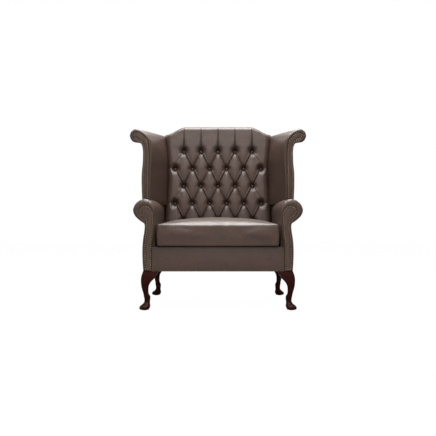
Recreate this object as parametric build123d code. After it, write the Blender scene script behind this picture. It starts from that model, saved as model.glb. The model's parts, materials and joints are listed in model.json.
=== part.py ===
from build123d import *
import os
from math import cos, radians, sin, sqrt

os.makedirs("parts", exist_ok=True)

# Wing loveseat: timber frame, padded leather covers, buttoned back and one loose seat cushion.
# All lengths are millimetres. While it is built the arm facings stand at y = 0, x = 0 is the
# middle and the floor is z = 0. Left is the side at negative x. Pieces are moved to the part's
# own origin in the last section.

# Driving sizes of the whole seat
scroll_span = 908.0
arm_width = 118.0
arm_top = 592.0
seat_depth = 670.0
overall_height = 1075.0
knee_height = 340.0
back_rake = 9.0
back_crown = 120.0
shoulder_drop = 52.0
wing_setback = 300.0
leg_height = 208.0

# Clearances and sheet thicknesses
cloth_gap = 0.3
leather = 2.5
overrun = 60.0

# Timber sections
rail_height = 92.0
side_rail_thickness = 25.0
post_thickness = 32.0
back_frame_thickness = 28.0
arm_post_thickness = 32.0
wing_post_thickness = 25.0
post_margin = 8.0
scroll_board_margin = 14.0

# Places that follow from the sizes above
scroll_outer = scroll_span / 2
scroll_inner = scroll_outer - arm_width
shoulder_half = scroll_inner
cover_bottom = leg_height
arm_height = arm_top - cover_bottom
arm_foot_inner_share = 0.136
arm_foot_outer_share = 0.534
arm_inner = scroll_inner + arm_width * arm_foot_inner_share
base_half = scroll_inner + arm_width * arm_foot_outer_share
frame_bottom = leg_height
rail_top = frame_bottom + rail_height
side_rail_inner = arm_inner + leather + cloth_gap
side_rail_outer = side_rail_inner + side_rail_thickness
back_post_outer = side_rail_outer
back_post_inner = back_post_outer - post_thickness
lean_sin = sin(radians(back_rake))
lean_cos = cos(radians(back_rake))
back_cover_rear = leather + cloth_gap
frame_front_n = back_cover_rear + back_frame_thickness


# Every point of the back is told as x, height along the rake and depth forward of its rear face.
def back_point(x, rise, depth):
    return (
        x,
        seat_depth + rise * lean_sin - depth * lean_cos,
        knee_height + rise * lean_cos + depth * lean_sin,
    )


def rise_at(level, depth):
    return (level - knee_height - depth * lean_sin) / lean_cos


def back_plane(depth):
    return Plane(origin=back_point(0, 0, depth), x_dir=(1, 0, 0), z_dir=(0, -lean_cos, lean_sin))


def block(low, high):
    size = [b - a for a, b in zip(low, high)]
    middle = [(a + b) / 2 for a, b in zip(low, high)]
    return Pos(*middle) * Box(*size)


def mirrored(shape):
    return mirror(shape, about=Plane.YZ)


def front_face(wire, front, back):
    """Solid with its outline in XZ, from y = front to y = back."""
    face = Pos(0, front, 0) * make_face(Plane.XZ * wire)
    return extrude(face, back - front, dir=(0, 1, 0))


def side_prism(points, low_x, high_x):
    """Solid with its outline in YZ, from x = low_x to x = high_x."""
    face = Pos(low_x, 0, 0) * make_face(Plane.YZ * Polyline(*points, close=True))
    return extrude(face, high_x - low_x, dir=(1, 0, 0))


def grown(wire, amount):
    return offset(wire, amount, kind=Kind.INTERSECTION) if amount else wire


parts = {}

# Space behind the back's covers, which trims the arms and wings
rear_far = seat_depth + overall_height


def knee_corner(depth):
    """Where the upright foot of the back meets its rake, this far in from the rear face."""
    rise = -depth * (1 - lean_cos) / lean_sin
    place = back_point(0, rise, depth)
    return (place[1], place[2])


def behind_back(depth):
    top_place = back_point(0, rise_at(overall_height, depth) + overrun, depth)
    outline = [
        (seat_depth - depth, 0),
        knee_corner(depth),
        (top_place[1], top_place[2]),
        (rear_far, top_place[2]),
        (rear_far, 0),
    ]
    return side_prism(outline, -scroll_span, scroll_span)


def back_slab(low_x, high_x, rear_depth, front_depth, foot, top):
    """Upright at the foot and raked above, between two depths of the back."""
    outline = [
        (seat_depth - front_depth, foot),
        knee_corner(front_depth),
        back_point(0, rise_at(top, front_depth), front_depth)[1:],
        back_point(0, rise_at(top, rear_depth), rear_depth)[1:],
        knee_corner(rear_depth),
        (seat_depth - rear_depth, foot),
    ]
    return side_prism(outline, low_x, high_x)


# Cabriole legs: rounded square sections stacked along an S curve on the corner's diagonal
glide_thickness = 3.0
glide_diameter = 25.0
leg_block = 81.0
# Height share, outer face beyond the frame corner and width, both as shares of the block
leg_section_shares = [
    (0.000, 0.185, 0.560, 0.42),
    (0.030, 0.245, 0.660, 0.45),
    (0.070, 0.235, 0.690, 0.45),
    (0.135, 0.055, 0.500, 0.40),
    (0.230, -0.075, 0.365, 0.34),
    (0.390, -0.020, 0.350, 0.32),
    (0.530, 0.070, 0.410, 0.30),
    (0.620, 0.115, 0.490, 0.28),
    (0.700, 0.135, 0.620, 0.24),
    (0.770, 0.135, 0.780, 0.14),
    (0.880, 0.100, 0.930, 0.08),
    (1.000, 0.000, 1.000, 0.05),
]
bolt_inset = 55.0
bolt_diameter = 8.0
bolt_in_leg = 30.0
bolt_slack = 0.2
corner_block_size = 55.0
corner_block_height = 42.0
nut_height = 6.5
nut_across_flats = 13.0
bolt_above_nut = 4.0


def leg_form():
    """Leg with the corner of its top block at the origin, knee and toe towards +X and -Y."""
    sections = []
    height = leg_height - glide_thickness
    for rise_share, out_share, width_share, round_share in leg_section_shares:
        out = leg_block * out_share
        width = leg_block * width_share
        level = glide_thickness + height * rise_share
        centre = out - width / 2
        outline = RectangleRounded(width, width, width * round_share)
        sections.append(Pos(centre, -centre, level) * outline)
    return loft(sections[:-1]) + loft(sections[-2:], ruled=True)


leg_shape = leg_form()
first_out = leg_block * leg_section_shares[0][1]
first_width = leg_block * leg_section_shares[0][2]
glide_centre = first_out - first_width / 2
glide_shape = Pos(glide_centre, -glide_centre, glide_thickness / 2) * Cylinder(
    glide_diameter / 2, glide_thickness
)
bolt_centre = -bolt_inset
bolt_foot = leg_height - bolt_in_leg
nut_seat = frame_bottom + corner_block_height
bolt_length = nut_seat + nut_height + bolt_above_nut - bolt_foot
bolt_shape = Pos(bolt_centre, -bolt_centre, bolt_foot + bolt_length / 2) * Cylinder(
    bolt_diameter / 2, bolt_length
)
bolt_hole = Pos(bolt_centre, -bolt_centre, bolt_foot + bolt_length / 2) * Cylinder(
    bolt_diameter / 2 + bolt_slack, bolt_length
)
leg_shape = leg_shape - bolt_hole
nut_blank = extrude(RegularPolygon(nut_across_flats / 2, 6, major_radius=False), nut_height)
nut_shape = Pos(bolt_centre, -bolt_centre, nut_seat) * nut_blank - bolt_hole


def at_front_right(shape):
    return Pos(base_half, 0, 0) * shape


def at_rear_right(shape):
    return Pos(base_half, seat_depth, 0) * mirror(shape, about=Plane.XZ)


def at_four_corners(shape):
    right = [at_front_right(shape), at_rear_right(shape)]
    return Compound(right + [mirrored(piece) for piece in right])


parts["front_leg_right"] = at_front_right(leg_shape)
parts["front_leg_left"] = mirrored(parts["front_leg_right"])
parts["rear_leg_right"] = at_rear_right(leg_shape)
parts["rear_leg_left"] = mirrored(parts["rear_leg_right"])
parts["foot_glides"] = at_four_corners(glide_shape)
parts["leg_bolts"] = at_four_corners(bolt_shape)
parts["leg_nuts"] = at_four_corners(nut_shape)

# Scroll arm outline, seen from the front: shares of the arm's width and height
arm_outline_shares = [
    (arm_foot_inner_share, 0.0),
    (arm_foot_outer_share, 0.0),
    (0.593, 0.27),
    (0.441, 0.664),
    (1.068, 0.775),
    (1.0, 1.0),
    (0.0, 1.0),
    (0.0, 0.64),
    (arm_foot_inner_share, 0.40),
]
arm_outline_radii = [0, 0, 400.0, 10.0, 34.0, 48.0, 56.0, 150.0, 150.0]
arm_front_wall = 4.0
arm_edge_round = 9.0
facing_margin = 14.0
arm_points = [
    (scroll_inner + arm_width * across, cover_bottom + arm_height * up)
    for across, up in arm_outline_shares
]
arm_wire = FilletPolyline(*arm_points, radius=arm_outline_radii, close=True)
arm_rear = back_point(0, rise_at(arm_top, 0), 0)[1] + overrun
arm_post_front = arm_front_wall + leather + cloth_gap
arm_post_rear = arm_post_front + arm_post_thickness
below_cover = cover_bottom - overrun

# Arm timbers: front scroll board, top board and the rail that the inner leather is tacked to
arm_board_width = 64.0
arm_board_thickness = 20.0
arm_board_drop = 42.0
stuffing_rail_width = 20.0
stuffing_rail_height = 26.0
stuffing_rail_lift = 30.0
arm_board_top = arm_top - arm_board_drop
arm_middle = (scroll_inner + scroll_outer) / 2


def raked_rear(solid, depth):
    return solid - behind_back(depth)


def arm_post_form(gap):
    """Scroll board with its straight foot, grown all round by a gap."""
    front = arm_post_front - gap
    rear = arm_post_rear + gap
    foot = block(
        (arm_inner + post_margin - gap, front, frame_bottom - gap),
        (base_half - post_margin + gap, rear, frame_bottom + 2 * post_margin),
    )
    return front_face(grown(arm_wire, gap - scroll_board_margin), front, rear) + foot


arm_post = arm_post_form(0)
arm_board = raked_rear(
    block(
        (arm_middle - arm_board_width / 2, arm_post_rear, arm_board_top - arm_board_thickness),
        (arm_middle + arm_board_width / 2, rear_far - overrun, arm_board_top),
    ),
    frame_front_n,
)
stuffing_low = rail_top + stuffing_rail_lift
stuffing_inner = side_rail_outer - stuffing_rail_width
stuffing_rail = raked_rear(
    block(
        (stuffing_inner, arm_post_rear, stuffing_low),
        (side_rail_outer, rear_far - overrun, stuffing_low + stuffing_rail_height),
    ),
    frame_front_n,
)
side_rail = block(
    (side_rail_inner, arm_post_rear, frame_bottom),
    (side_rail_outer, seat_depth - frame_front_n, rail_top),
)

# Back timbers: raked posts, top and lower rails, seat rails at front and rear
webbing_thickness = 1.5
webbing_width = 50.0
webbing_grip = 12.0
post_top_drop = 90.0
post_top = overall_height - post_top_drop
top_rail_height = 90.0
edge_fold = 14.0
lower_rail_foot = 8.0
lower_rail_height = 50.0
border_front = 1.0
border_depth = 13.0
web_front_n = frame_front_n + 2 * webbing_thickness
front_rail_front = border_front + border_depth
front_rail_rear = arm_post_rear
front_rail_half = arm_inner + post_margin

back_post = back_slab(
    back_post_inner, back_post_outer, back_cover_rear, frame_front_n, frame_bottom, post_top
)
back_post_space = back_slab(
    back_post_inner - cloth_gap,
    back_post_outer + cloth_gap,
    back_cover_rear - leather - cloth_gap,
    web_front_n + cloth_gap,
    cover_bottom - overrun,
    post_top + cloth_gap,
)
front_seat_rail = block(
    (-front_rail_half, front_rail_front, frame_bottom), (front_rail_half, front_rail_rear, rail_top)
)
back_seat_rail = block(
    (-back_post_inner, seat_depth - frame_front_n, frame_bottom),
    (back_post_inner, seat_depth - back_cover_rear, rail_top),
)

# Camel top of the back, in the back's own plane: x and height along the rake
rim_depth = 72.0
flat_half = 216.0
ogee_half = 276.0
ogee_drop_share = 0.58
ogee_bow = 5.0
top_rise = rise_at(overall_height, rim_depth)
shoulder_rise = top_rise - shoulder_drop / lean_cos
ogee_rise = top_rise - ogee_drop_share * shoulder_drop / lean_cos
convex_middle = ((flat_half + ogee_half) / 2, (top_rise + ogee_rise) / 2 + ogee_bow)
concave_middle = ((ogee_half + shoulder_half) / 2, (ogee_rise + shoulder_rise) / 2 - ogee_bow)


def camel_outline(drop, side):
    """Closed outline of the back from its right side upwards, its curved top lowered by drop."""
    half = side[-1][0]
    curve = [*side, (half, shoulder_rise - drop), (shoulder_half, shoulder_rise - drop)]
    right = Polyline(*curve).edges()
    places = [
        (shoulder_half, shoulder_rise),
        concave_middle,
        (ogee_half, ogee_rise),
        convex_middle,
        (flat_half, top_rise),
    ]
    lowered = [(x, rise - drop) for x, rise in places]
    right = right + [ThreePointArc(*lowered[0:3]).edge(), ThreePointArc(*lowered[2:5]).edge()]
    left = [edge.mirror(Plane.YZ) for edge in right]
    top = Line((-flat_half, top_rise - drop), (flat_half, top_rise - drop)).edge()
    bottom = Line((-side[0][0], side[0][1]), side[0]).edge()
    return Wire(list(right) + [top] + left + [bottom])


def back_layer(wire, rear_depth, front_depth):
    """Layer of the back with its outline in the back's plane."""
    face = Pos(0, 0, rear_depth) * make_face(wire)
    return back_plane(0).location * extrude(face, front_depth - rear_depth, dir=(0, 0, 1))


top_rail_drop = edge_fold + cloth_gap
top_rail_foot = shoulder_rise - top_rail_drop - top_rail_height
back_frame_top = back_point(0, shoulder_rise - top_rail_drop, frame_front_n)[2] + cloth_gap
back_frame_space = back_slab(
    0,
    back_post_outer + cloth_gap,
    back_cover_rear - leather - cloth_gap,
    web_front_n + cloth_gap,
    cover_bottom - overrun,
    back_frame_top,
)
back_top_rail = back_layer(
    camel_outline(top_rail_drop, [(back_post_inner, top_rail_foot)]), back_cover_rear, frame_front_n
)
lower_rail_top = lower_rail_foot + lower_rail_height
lower_rail_wire = Polyline(
    (-back_post_inner, lower_rail_foot),
    (back_post_inner, lower_rail_foot),
    (back_post_inner, lower_rail_top),
    (-back_post_inner, lower_rail_top),
    close=True,
)
back_lower_rail = back_layer(lower_rail_wire, back_cover_rear, frame_front_n)

# Back webbing: level straps tacked to the posts, upright straps in front of them
level_strap_count = 5
upright_strap_count = 5
upright_strap_gap = 120.0
webbing_foot = lower_rail_top + webbing_width / 2
webbing_top = top_rail_foot - webbing_width / 2


def strap(low, high, rear_depth):
    wire = Polyline(low, (high[0], low[1]), high, (low[0], high[1]), close=True)
    return back_layer(wire, rear_depth, rear_depth + webbing_thickness)


webbing_reach = back_post_inner + webbing_grip
straps = []
for index in range(level_strap_count):
    rise = webbing_foot + (webbing_top - webbing_foot) * index / (level_strap_count - 1)
    low = (-webbing_reach, rise - webbing_width / 2)
    high = (webbing_reach, rise + webbing_width / 2)
    straps.append(strap(low, high, frame_front_n))
for index in range(upright_strap_count):
    middle = (index - (upright_strap_count - 1) / 2) * upright_strap_gap
    low = (middle - webbing_width / 2, lower_rail_foot)
    high = (middle + webbing_width / 2, top_rail_foot + webbing_width)
    straps.append(strap(low, high, frame_front_n + webbing_thickness))
parts["back_webbing"] = Compound(straps)

# Scroll wings: front outline on the arm and a slimmer one at the back, with a ruled skin between
wing_front_shift = 42.0
wing_inner_front = scroll_inner + wing_front_shift
wing_width_front = 135.0
wing_front_drop = 66.0
wing_top_front = overall_height - wing_front_drop
wing_rear_shift = 36.0
wing_inner_rear = scroll_inner - wing_rear_shift
wing_width_rear = 98.0
wing_rear_drop = 53.0
wing_top_rear = overall_height - wing_rear_drop
wing_post_margin = 10.0
wing_foot = arm_board_top - wing_post_margin

# Foot of each outline in shares of its width and height, and its head with drops from the top
wing_front_foot_shares = [(0.075, 0.0), (0.463, 0.0), (0.493, 0.25)]
wing_front_head_shares = [0.418, 0.455, 1.0, 1.0, 0.50, 0.0, -0.008]
wing_front_head_drops = [150.0, 79.0, 81.0, 1.0, 5.0, 71.0, 159.0]
wing_front_radii = [0, 0, 250.0, 250.0, 14.0, 26.0, 28.0, 60.0, 70.0, 300.0]
wing_rear_foot_shares = [(0.035, 0.0), (0.857, 0.0), (0.878, 0.25)]
wing_rear_head_shares = [0.852, 0.857, 1.0, 1.0, 0.76, 0.27, 0.03]
wing_rear_head_drops = [152.0, 58.0, 59.0, 4.0, 0, 7.0, 134.0]
wing_rear_radii = [0, 0, 300.0, 300.0, 5.0, 5.0, 7.0, 8.0, 12.0, 300.0]


def wing_front_wire(inset, front_y):
    """Outline of the wing on the arm, drawn in by an inset."""
    height = wing_top_front - wing_foot
    points = [
        (wing_inner_front + wing_width_front * across, wing_foot + height * up)
        for across, up in wing_front_foot_shares
    ]
    for across, drop in zip(wing_front_head_shares, wing_front_head_drops):
        points.append((wing_inner_front + wing_width_front * across, wing_top_front - drop))
    wire = grown(FilletPolyline(*points, radius=wing_front_radii, close=True), -inset).wire()
    return wire.moved(Pos(0, front_y, 0) * Plane.XZ.location)


def wing_rear_wire(inset, rear_depth):
    """Outline of the wing at the rear of the back, drawn in by an inset."""
    height = wing_top_rear - wing_foot
    points = [
        (wing_inner_rear + wing_width_rear * across, rise_at(wing_foot + height * up, rear_depth))
        for across, up in wing_rear_foot_shares
    ]
    for across, drop in zip(wing_rear_head_shares, wing_rear_head_drops):
        rise = rise_at(wing_top_rear - drop, rear_depth)
        points.append((wing_inner_rear + wing_width_rear * across, rise))
    wire = grown(FilletPolyline(*points, radius=wing_rear_radii, close=True), -inset).wire()
    return wire.moved(back_plane(rear_depth).location)


def wing_form(inset, front_y, rear_depth):
    wires = [wing_front_wire(inset, front_y), wing_rear_wire(inset, rear_depth)]
    return Solid.make_loft(wires, ruled=True)


wing_front_wall = wing_setback + leather + cloth_gap
wing_post_rear = wing_front_wall + wing_post_thickness


def sheet_along_y(wire, thickness):
    """Solid sheet behind a closed outline that stands square to y."""
    return extrude(Face(wire), thickness, dir=(0, 1, 0))


wing_post = sheet_along_y(wing_front_wire(wing_post_margin, wing_front_wall), wing_post_thickness)
wing_post_space = sheet_along_y(
    wing_front_wire(wing_post_margin - cloth_gap, wing_front_wall - cloth_gap),
    wing_post_thickness + 2 * cloth_gap,
)

# Wing top rail, from the scroll board to the back post
wing_rail_width = 24.0
wing_rail_height = 22.0
wing_rail_shift = 20.0
wing_rail_front_x = wing_inner_front + wing_rail_shift
wing_rail_front_drop = 85.0
wing_rail_rear_drop = 50.0


def bar_outline(place, middle, rise, margin):
    face = Rectangle(wing_rail_width + 2 * margin, wing_rail_height + 2 * margin)
    return (place * Pos(middle, rise, 0) * face).wire()


def wing_rail_form(margin):
    front_place = Pos(0, wing_post_rear, 0) * Plane.XZ.location
    rear_place = back_plane(frame_front_n).location
    rear_x = (back_post_inner + back_post_outer) / 2
    front = bar_outline(front_place, wing_rail_front_x, wing_top_front - wing_rail_front_drop, margin)
    rear_rise = rise_at(wing_top_rear - wing_rail_rear_drop, frame_front_n)
    rear = bar_outline(rear_place, rear_x, rear_rise, margin)
    return Solid.make_loft([front, rear], ruled=True)


wing_top_rail = wing_rail_form(0)

# Buttoned back: rows of buttons in the back's plane, odd rows one button wider
button_gap = 108.0
low_row_rise = 124.5
narrow_count = 5
row_count = 5
top_strip = 164.25
row_gap = (top_rise - top_strip - low_row_rise) / (row_count - 1)
button_drop = 32.0
fold_drop = 15.0
soft_fold_drop = 6.0
button_depth = back_crown - button_drop
fold_depth = back_crown - fold_drop
soft_fold_depth = back_crown - soft_fold_drop
low_side_gap = 3.0
bend_side_gap = 14.0
waist_side_gap = 21.0
side_low = shoulder_half - low_side_gap
side_bend = shoulder_half - bend_side_gap
side_waist = shoulder_half - waist_side_gap
cover_foot = 8.0
cover_base = 60.3
roll_rise = 38.0
side_peak_drop = 4.0
side_peak_depth = back_crown - side_peak_drop
fold_shares = (0.0, 0.2, 0.5, 0.8, 1.0)
in_line_share = 0.001


def row_rise(row):
    return low_row_rise + row_gap * row


def row_places(row):
    count = narrow_count + row % 2
    return [(index - (count - 1) / 2) * button_gap for index in range(count)]


narrow_end = row_places(0)[-1]
wide_end = row_places(1)[-1]
top_row = row_count - 1


def crown_depth(share):
    """Round rise of a diamond from its button, at share 1, to its middle row."""
    return back_crown - (back_crown - button_depth) * (1 - sqrt(1 - share**2))


def fold_point(low_x, low_row, high_x, share):
    """Point on the fold from a button to one in the row above, which is soft under a wide end."""
    soft = abs(low_x) == wide_end and abs(high_x) == narrow_end
    middle = soft_fold_depth if soft else fold_depth
    depth = middle - (middle - button_depth) * (2 * share - 1) ** 2
    return (low_x + (high_x - low_x) * share, row_rise(low_row) + row_gap * share, depth)


def arc_through(*places):
    """Wire of arcs through each second place, or of a line where the three are in line."""
    edges = []
    for index in range(0, len(places) - 2, 2):
        start, middle, end = [Vector(*place) for place in places[index : index + 3]]
        bend = (middle - start).cross(end - middle).length
        if bend < (end - start).length * in_line_share:
            edges.append(Edge.make_line(start, end))
        else:
            edges.append(Edge.make_three_point_arc(start, middle, end))
    return Wire(edges)


def quilt(sections):
    return Shell.make_loft(sections, ruled=True).faces()


def between(low, high, share):
    return tuple(a + (b - a) * share for a, b in zip(low, high))


def half_diamond(left, right, row, direction):
    """Half of a padded diamond, from its middle row to the button above or below."""
    middle = (left + right) / 2
    sections = []
    for share in fold_shares[:-1]:
        if direction > 0:
            start = fold_point(left, row, middle, share)
            end = fold_point(right, row, middle, share)
        else:
            start = fold_point(middle, row - 1, left, 1 - share)
            end = fold_point(middle, row - 1, right, 1 - share)
        crown = (middle, start[1], crown_depth(share))
        sections.append(arc_through(start, crown, end))
    sections.append(Vertex(middle, row_rise(row + direction), button_depth))
    return quilt(sections)


side_places = [
    (side_low, cover_foot),
    (side_low, row_rise(0)),
    (side_bend, row_rise(1)),
    (side_waist, row_rise(2)),
    (side_waist, row_rise(top_row - 1)),
    (shoulder_half, shoulder_rise - roll_rise),
]


def side_half(rise):
    """Half width of the back at a height."""
    for low, high in zip(side_places, side_places[1:]):
        if rise <= high[1]:
            return low[0] + (high[0] - low[0]) * (rise - low[1]) / (high[1] - low[1])
    return shoulder_half


def quarter(low, high, share):
    """Quarter round from a low depth up to a peak."""
    return high - (high - low) * (1 - sqrt(1 - share**2))


def side_section(fold, rim, peak_depth, bow=0):
    """From the outermost fold over a peak to the rim, in two quarter rounds."""
    peak = ((fold[0] + rim[0]) / 2, (fold[1] + rim[1]) / 2, peak_depth)
    inner = between(fold, peak, 1 / 2)
    outer = between(peak, rim, 1 / 2)
    inner = (inner[0], inner[1] + bow, quarter(fold[2], peak[2], 1 / 2))
    outer = (outer[0], outer[1] - bow, quarter(rim[2], peak[2], 1 / 2))
    return arc_through(fold, inner, peak, outer, rim)


def side_cell(row, direction):
    """Padded cell between the outermost button of a narrow row and the rim, half of it."""
    sections = []
    for share in fold_shares:
        if direction > 0:
            fold = fold_point(narrow_end, row, wide_end, share)
        else:
            fold = fold_point(wide_end, row - 1, narrow_end, 1 - share)
        rise = fold[1]
        rim = (side_half(rise), rise, rim_depth)
        level_fold = (fold[2] + rim[2]) / 2
        peak = level_fold + (side_peak_depth - level_fold) * sqrt(1 - share**2)
        sections.append(side_section(fold, rim, peak))
    return quilt(sections)


# Share of the way from the top row to the roll, then degrees round the roll
top_level_shares = [(0.0, 0), (0.2, 0), (0.5, 0), (1.0, 0), (1.0, 30), (1.0, 60), (1.0, 90)]
foot_level_shares = (0.0, 0.35, 0.75, 1.0)
fold_top_drop = 11.0
fold_top_depth = back_crown - fold_top_drop


def top_place(level, foot_x, top_x, top, body_depth):
    """Point on the way from the top row up and over the roll."""
    share, angle = level
    foot = row_rise(top_row)
    rise = foot + (top - roll_rise - foot) * share + roll_rise * sin(radians(angle))
    depth = rim_depth + (body_depth - rim_depth) * cos(radians(angle))
    return (foot_x + (top_x - foot_x) * share, rise, depth)


def top_fold(level, x):
    body_depth = fold_top_depth - (fold_top_depth - button_depth) * (1 - level[0]) ** 2
    return top_place(level, x, x, top_rise, body_depth)


def top_flute(left, right):
    """Upright flute between two folds, from the top row over the roll."""
    middle = (left + right) / 2
    sections = []
    for level in top_level_shares:
        crown = top_place(level, middle, middle, top_rise, back_crown)
        sections.append(arc_through(top_fold(level, left), crown, top_fold(level, right)))
    return sections


def top_side_cell():
    sections = []
    foot_half = side_half(row_rise(top_row))
    foot_peak = (narrow_end + foot_half) / 2
    for level in top_level_shares:
        fold = top_fold(level, narrow_end)
        rim = top_place(level, foot_half, shoulder_half, shoulder_rise, rim_depth)
        rim = (side_half(rim[1]), rim[1], rim[2])
        peak = top_place(level, foot_peak, ogee_half, ogee_rise, side_peak_depth)
        inner = between(fold, peak, 1 / 2)
        outer = between(peak, rim, 1 / 2)
        bow = ogee_bow * level[0]
        inner = (inner[0], inner[1] + bow, quarter(fold[2], peak[2], 1 / 2))
        outer = (outer[0], outer[1] - bow, quarter(rim[2], peak[2], 1 / 2))
        sections.append(arc_through(fold, inner, peak, outer, rim))
    return sections


def foot_place(x, share, body_depth):
    """Point on the way from the lowest row down to the tucked foot of the cover."""
    rise = row_rise(0) + (cover_foot - row_rise(0)) * share
    return (x, rise, rim_depth + (body_depth - rim_depth) * sqrt(1 - share**2))


def foot_flute(left, right):
    middle = (left + right) / 2
    sections = []
    for share in foot_level_shares:
        start = foot_place(left, share, button_depth)
        crown = foot_place(middle, share, back_crown)
        sections.append(arc_through(start, crown, foot_place(right, share, button_depth)))
    return sections


def foot_side_cell():
    sections = []
    for share in foot_level_shares:
        fold = foot_place(narrow_end, share, button_depth)
        rim = foot_place(side_low, share, rim_depth)
        peak_x = (narrow_end + side_low) / 2
        sections.append(side_section(fold, rim, foot_place(peak_x, share, side_peak_depth)[2]))
    return sections


def rim_rises():
    """Heights of the section ends along the side rim, from the foot to the shoulder."""
    rises = [foot_place(0, share, rim_depth)[1] for share in reversed(foot_level_shares)]
    for row in range(top_row):
        rises += [row_rise(row) + row_gap * share for share in fold_shares[1:]]
    rises += [
        top_place(level, 0, 0, shoulder_rise, rim_depth)[1] for level in top_level_shares[1:]
    ]
    return rises


def tufted_front():
    """Faces of the buttoned front, and the closed edge where they meet the skirt."""
    faces = []
    for row in range(row_count):
        places = row_places(row)
        for left, right in zip(places, places[1:]):
            if row < top_row:
                faces += half_diamond(left, right, row, 1)
            if row > 0:
                faces += half_diamond(left, right, row, -1)
    narrow = row_places(0)
    top_edges = []
    foot_edges = []
    for left, right in zip(narrow, narrow[1:]):
        top_sections = top_flute(left, right)
        foot_sections = foot_flute(left, right)
        faces += quilt(top_sections) + quilt(foot_sections)
        top_edges += top_sections[-1].edges()
        foot_edges += foot_sections[-1].edges()
    top_side = top_side_cell()
    foot_side = foot_side_cell()
    side = quilt(top_side) + quilt(foot_side)
    for row in range(0, row_count, 2):
        if row < top_row:
            side += side_cell(row, 1)
        if row > 0:
            side += side_cell(row, -1)
    rim = [Vector(side_half(rise), rise, rim_depth) for rise in rim_rises()]
    side_edges = [Edge.make_line(low, high) for low, high in zip(rim, rim[1:])]
    side_edges += list(top_side[-1].edges()) + list(foot_side[-1].edges())
    faces += side + [face.mirror(Plane.YZ) for face in side]
    edges = top_edges + foot_edges + side_edges
    edges += [edge.mirror(Plane.YZ) for edge in side_edges]
    return faces, Wire(edges)


front_faces, rim_wire = tufted_front()
skirt_drop = rim_depth - back_cover_rear
skirt = Shell.extrude(rim_wire, (0, 0, -skirt_drop))
rear_wire = rim_wire.moved(Pos(0, 0, -skirt_drop))
cover_block = Solid(Shell(front_faces + list(skirt.faces()) + [Face(rear_wire)]))

# Buttons in round pockets at the bottom of the dimples
button_diameter = 22.0
button_height = 9.0
button_round = 5.5
button_sink = 5.0
pocket_slack = 0.4
pocket_floor = button_depth - button_sink


def button_form():
    blank = Cylinder(
        button_diameter / 2, button_height, align=(Align.CENTER, Align.CENTER, Align.MIN)
    )
    return fillet(blank.edges().group_by(Axis.Z)[-1], button_round)


button_shape = button_form()
pocket_shape = Cylinder(
    button_diameter / 2 + pocket_slack, back_crown, align=(Align.CENTER, Align.CENTER, Align.MIN)
)
button_places = [
    Pos(x, row_rise(row), pocket_floor) for row in range(row_count) for x in row_places(row)
]
back_location = back_plane(0).location
frame_space = Pos(0, 0, -overrun) * extrude(
    make_face(camel_outline(edge_fold, [(scroll_span, -overrun)])),
    overrun + cover_base,
    dir=(0, 0, 1),
)
tufted = cover_block.cut(frame_space, *[place * pocket_shape for place in button_places])
parts["inside_back_cover"] = back_location * tufted
parts["back_buttons"] = Compound([back_location * place * button_shape for place in button_places])


def back_side(margin):
    return [(half + margin, rise) for half, rise in side_places]


# Foam slab between the webbing and the tufted cover
foam_rear = web_front_n + cloth_gap
foam_wire = camel_outline(edge_fold + cloth_gap, back_side(-cloth_gap))
parts["back_foam"] = back_layer(foam_wire, foam_rear, cover_base - cloth_gap)

# Space of the whole back, which trims the wings
back_space = back_layer(camel_outline(-cloth_gap, back_side(cloth_gap)), -overrun, back_crown + overrun)

# Outside back panel, raked above the knee and upright below it
lower_panel = back_slab(
    -back_post_outer, back_post_outer, 0, leather, cover_bottom, knee_height + overrun
)
upper_panel = back_layer(camel_outline(0, [(back_post_outer, 0)]), 0, leather)
parts["outside_back_cover"] = lower_panel + upper_panel


def arm_solid(inset, front):
    return front_face(grown(arm_wire, -inset), front, arm_rear)


# Arms: leather skin, stuffing and the nailed facing panel
arm_space = front_face(grown(arm_wire, cloth_gap), -overrun, arm_rear)
arm_inner_clear = block(
    (0, arm_front_wall + leather, below_cover),
    (side_rail_outer + cloth_gap, rear_far, rail_top + cloth_gap),
)
arm_foot_clear = block(
    (arm_inner + leather, arm_front_wall + leather, below_cover),
    (base_half - leather, rear_far, cover_bottom + 2 * leather),
)


def arm_form(inset):
    """Arm with its front edge rounded, drawn in all round by an inset."""
    solid = arm_solid(inset, arm_front_wall + inset)
    edges = solid.edges().group_by(Axis.Y)[0]
    upper = [edge for edge in edges if edge.center().Z > cover_bottom + inset + cloth_gap]
    return raked_rear(fillet(upper, arm_edge_round - inset), back_cover_rear + inset)


arm_cover = arm_form(0) - arm_form(leather) - arm_inner_clear - arm_foot_clear
arm_cover = arm_cover - back_frame_space - wing_post_space
pad = arm_form(leather + cloth_gap)
board_box = arm_board.bounding_box()
board_space = block(
    (board_box.min.X - cloth_gap, arm_post_front, board_box.min.Z - cloth_gap),
    (board_box.max.X + cloth_gap, rear_far, board_box.max.Z + cloth_gap),
)
stuffing_space = block(
    (stuffing_inner - cloth_gap, arm_post_front, stuffing_low - cloth_gap),
    (side_rail_outer + cloth_gap, rear_far, stuffing_low + stuffing_rail_height + cloth_gap),
)
arm_pad = pad - arm_post_form(cloth_gap) - board_space - stuffing_space - arm_inner_clear
arm_pad = arm_pad - back_frame_space - wing_post_space
arm_facing = front_face(grown(arm_wire, -facing_margin), 0, arm_front_wall)

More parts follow.
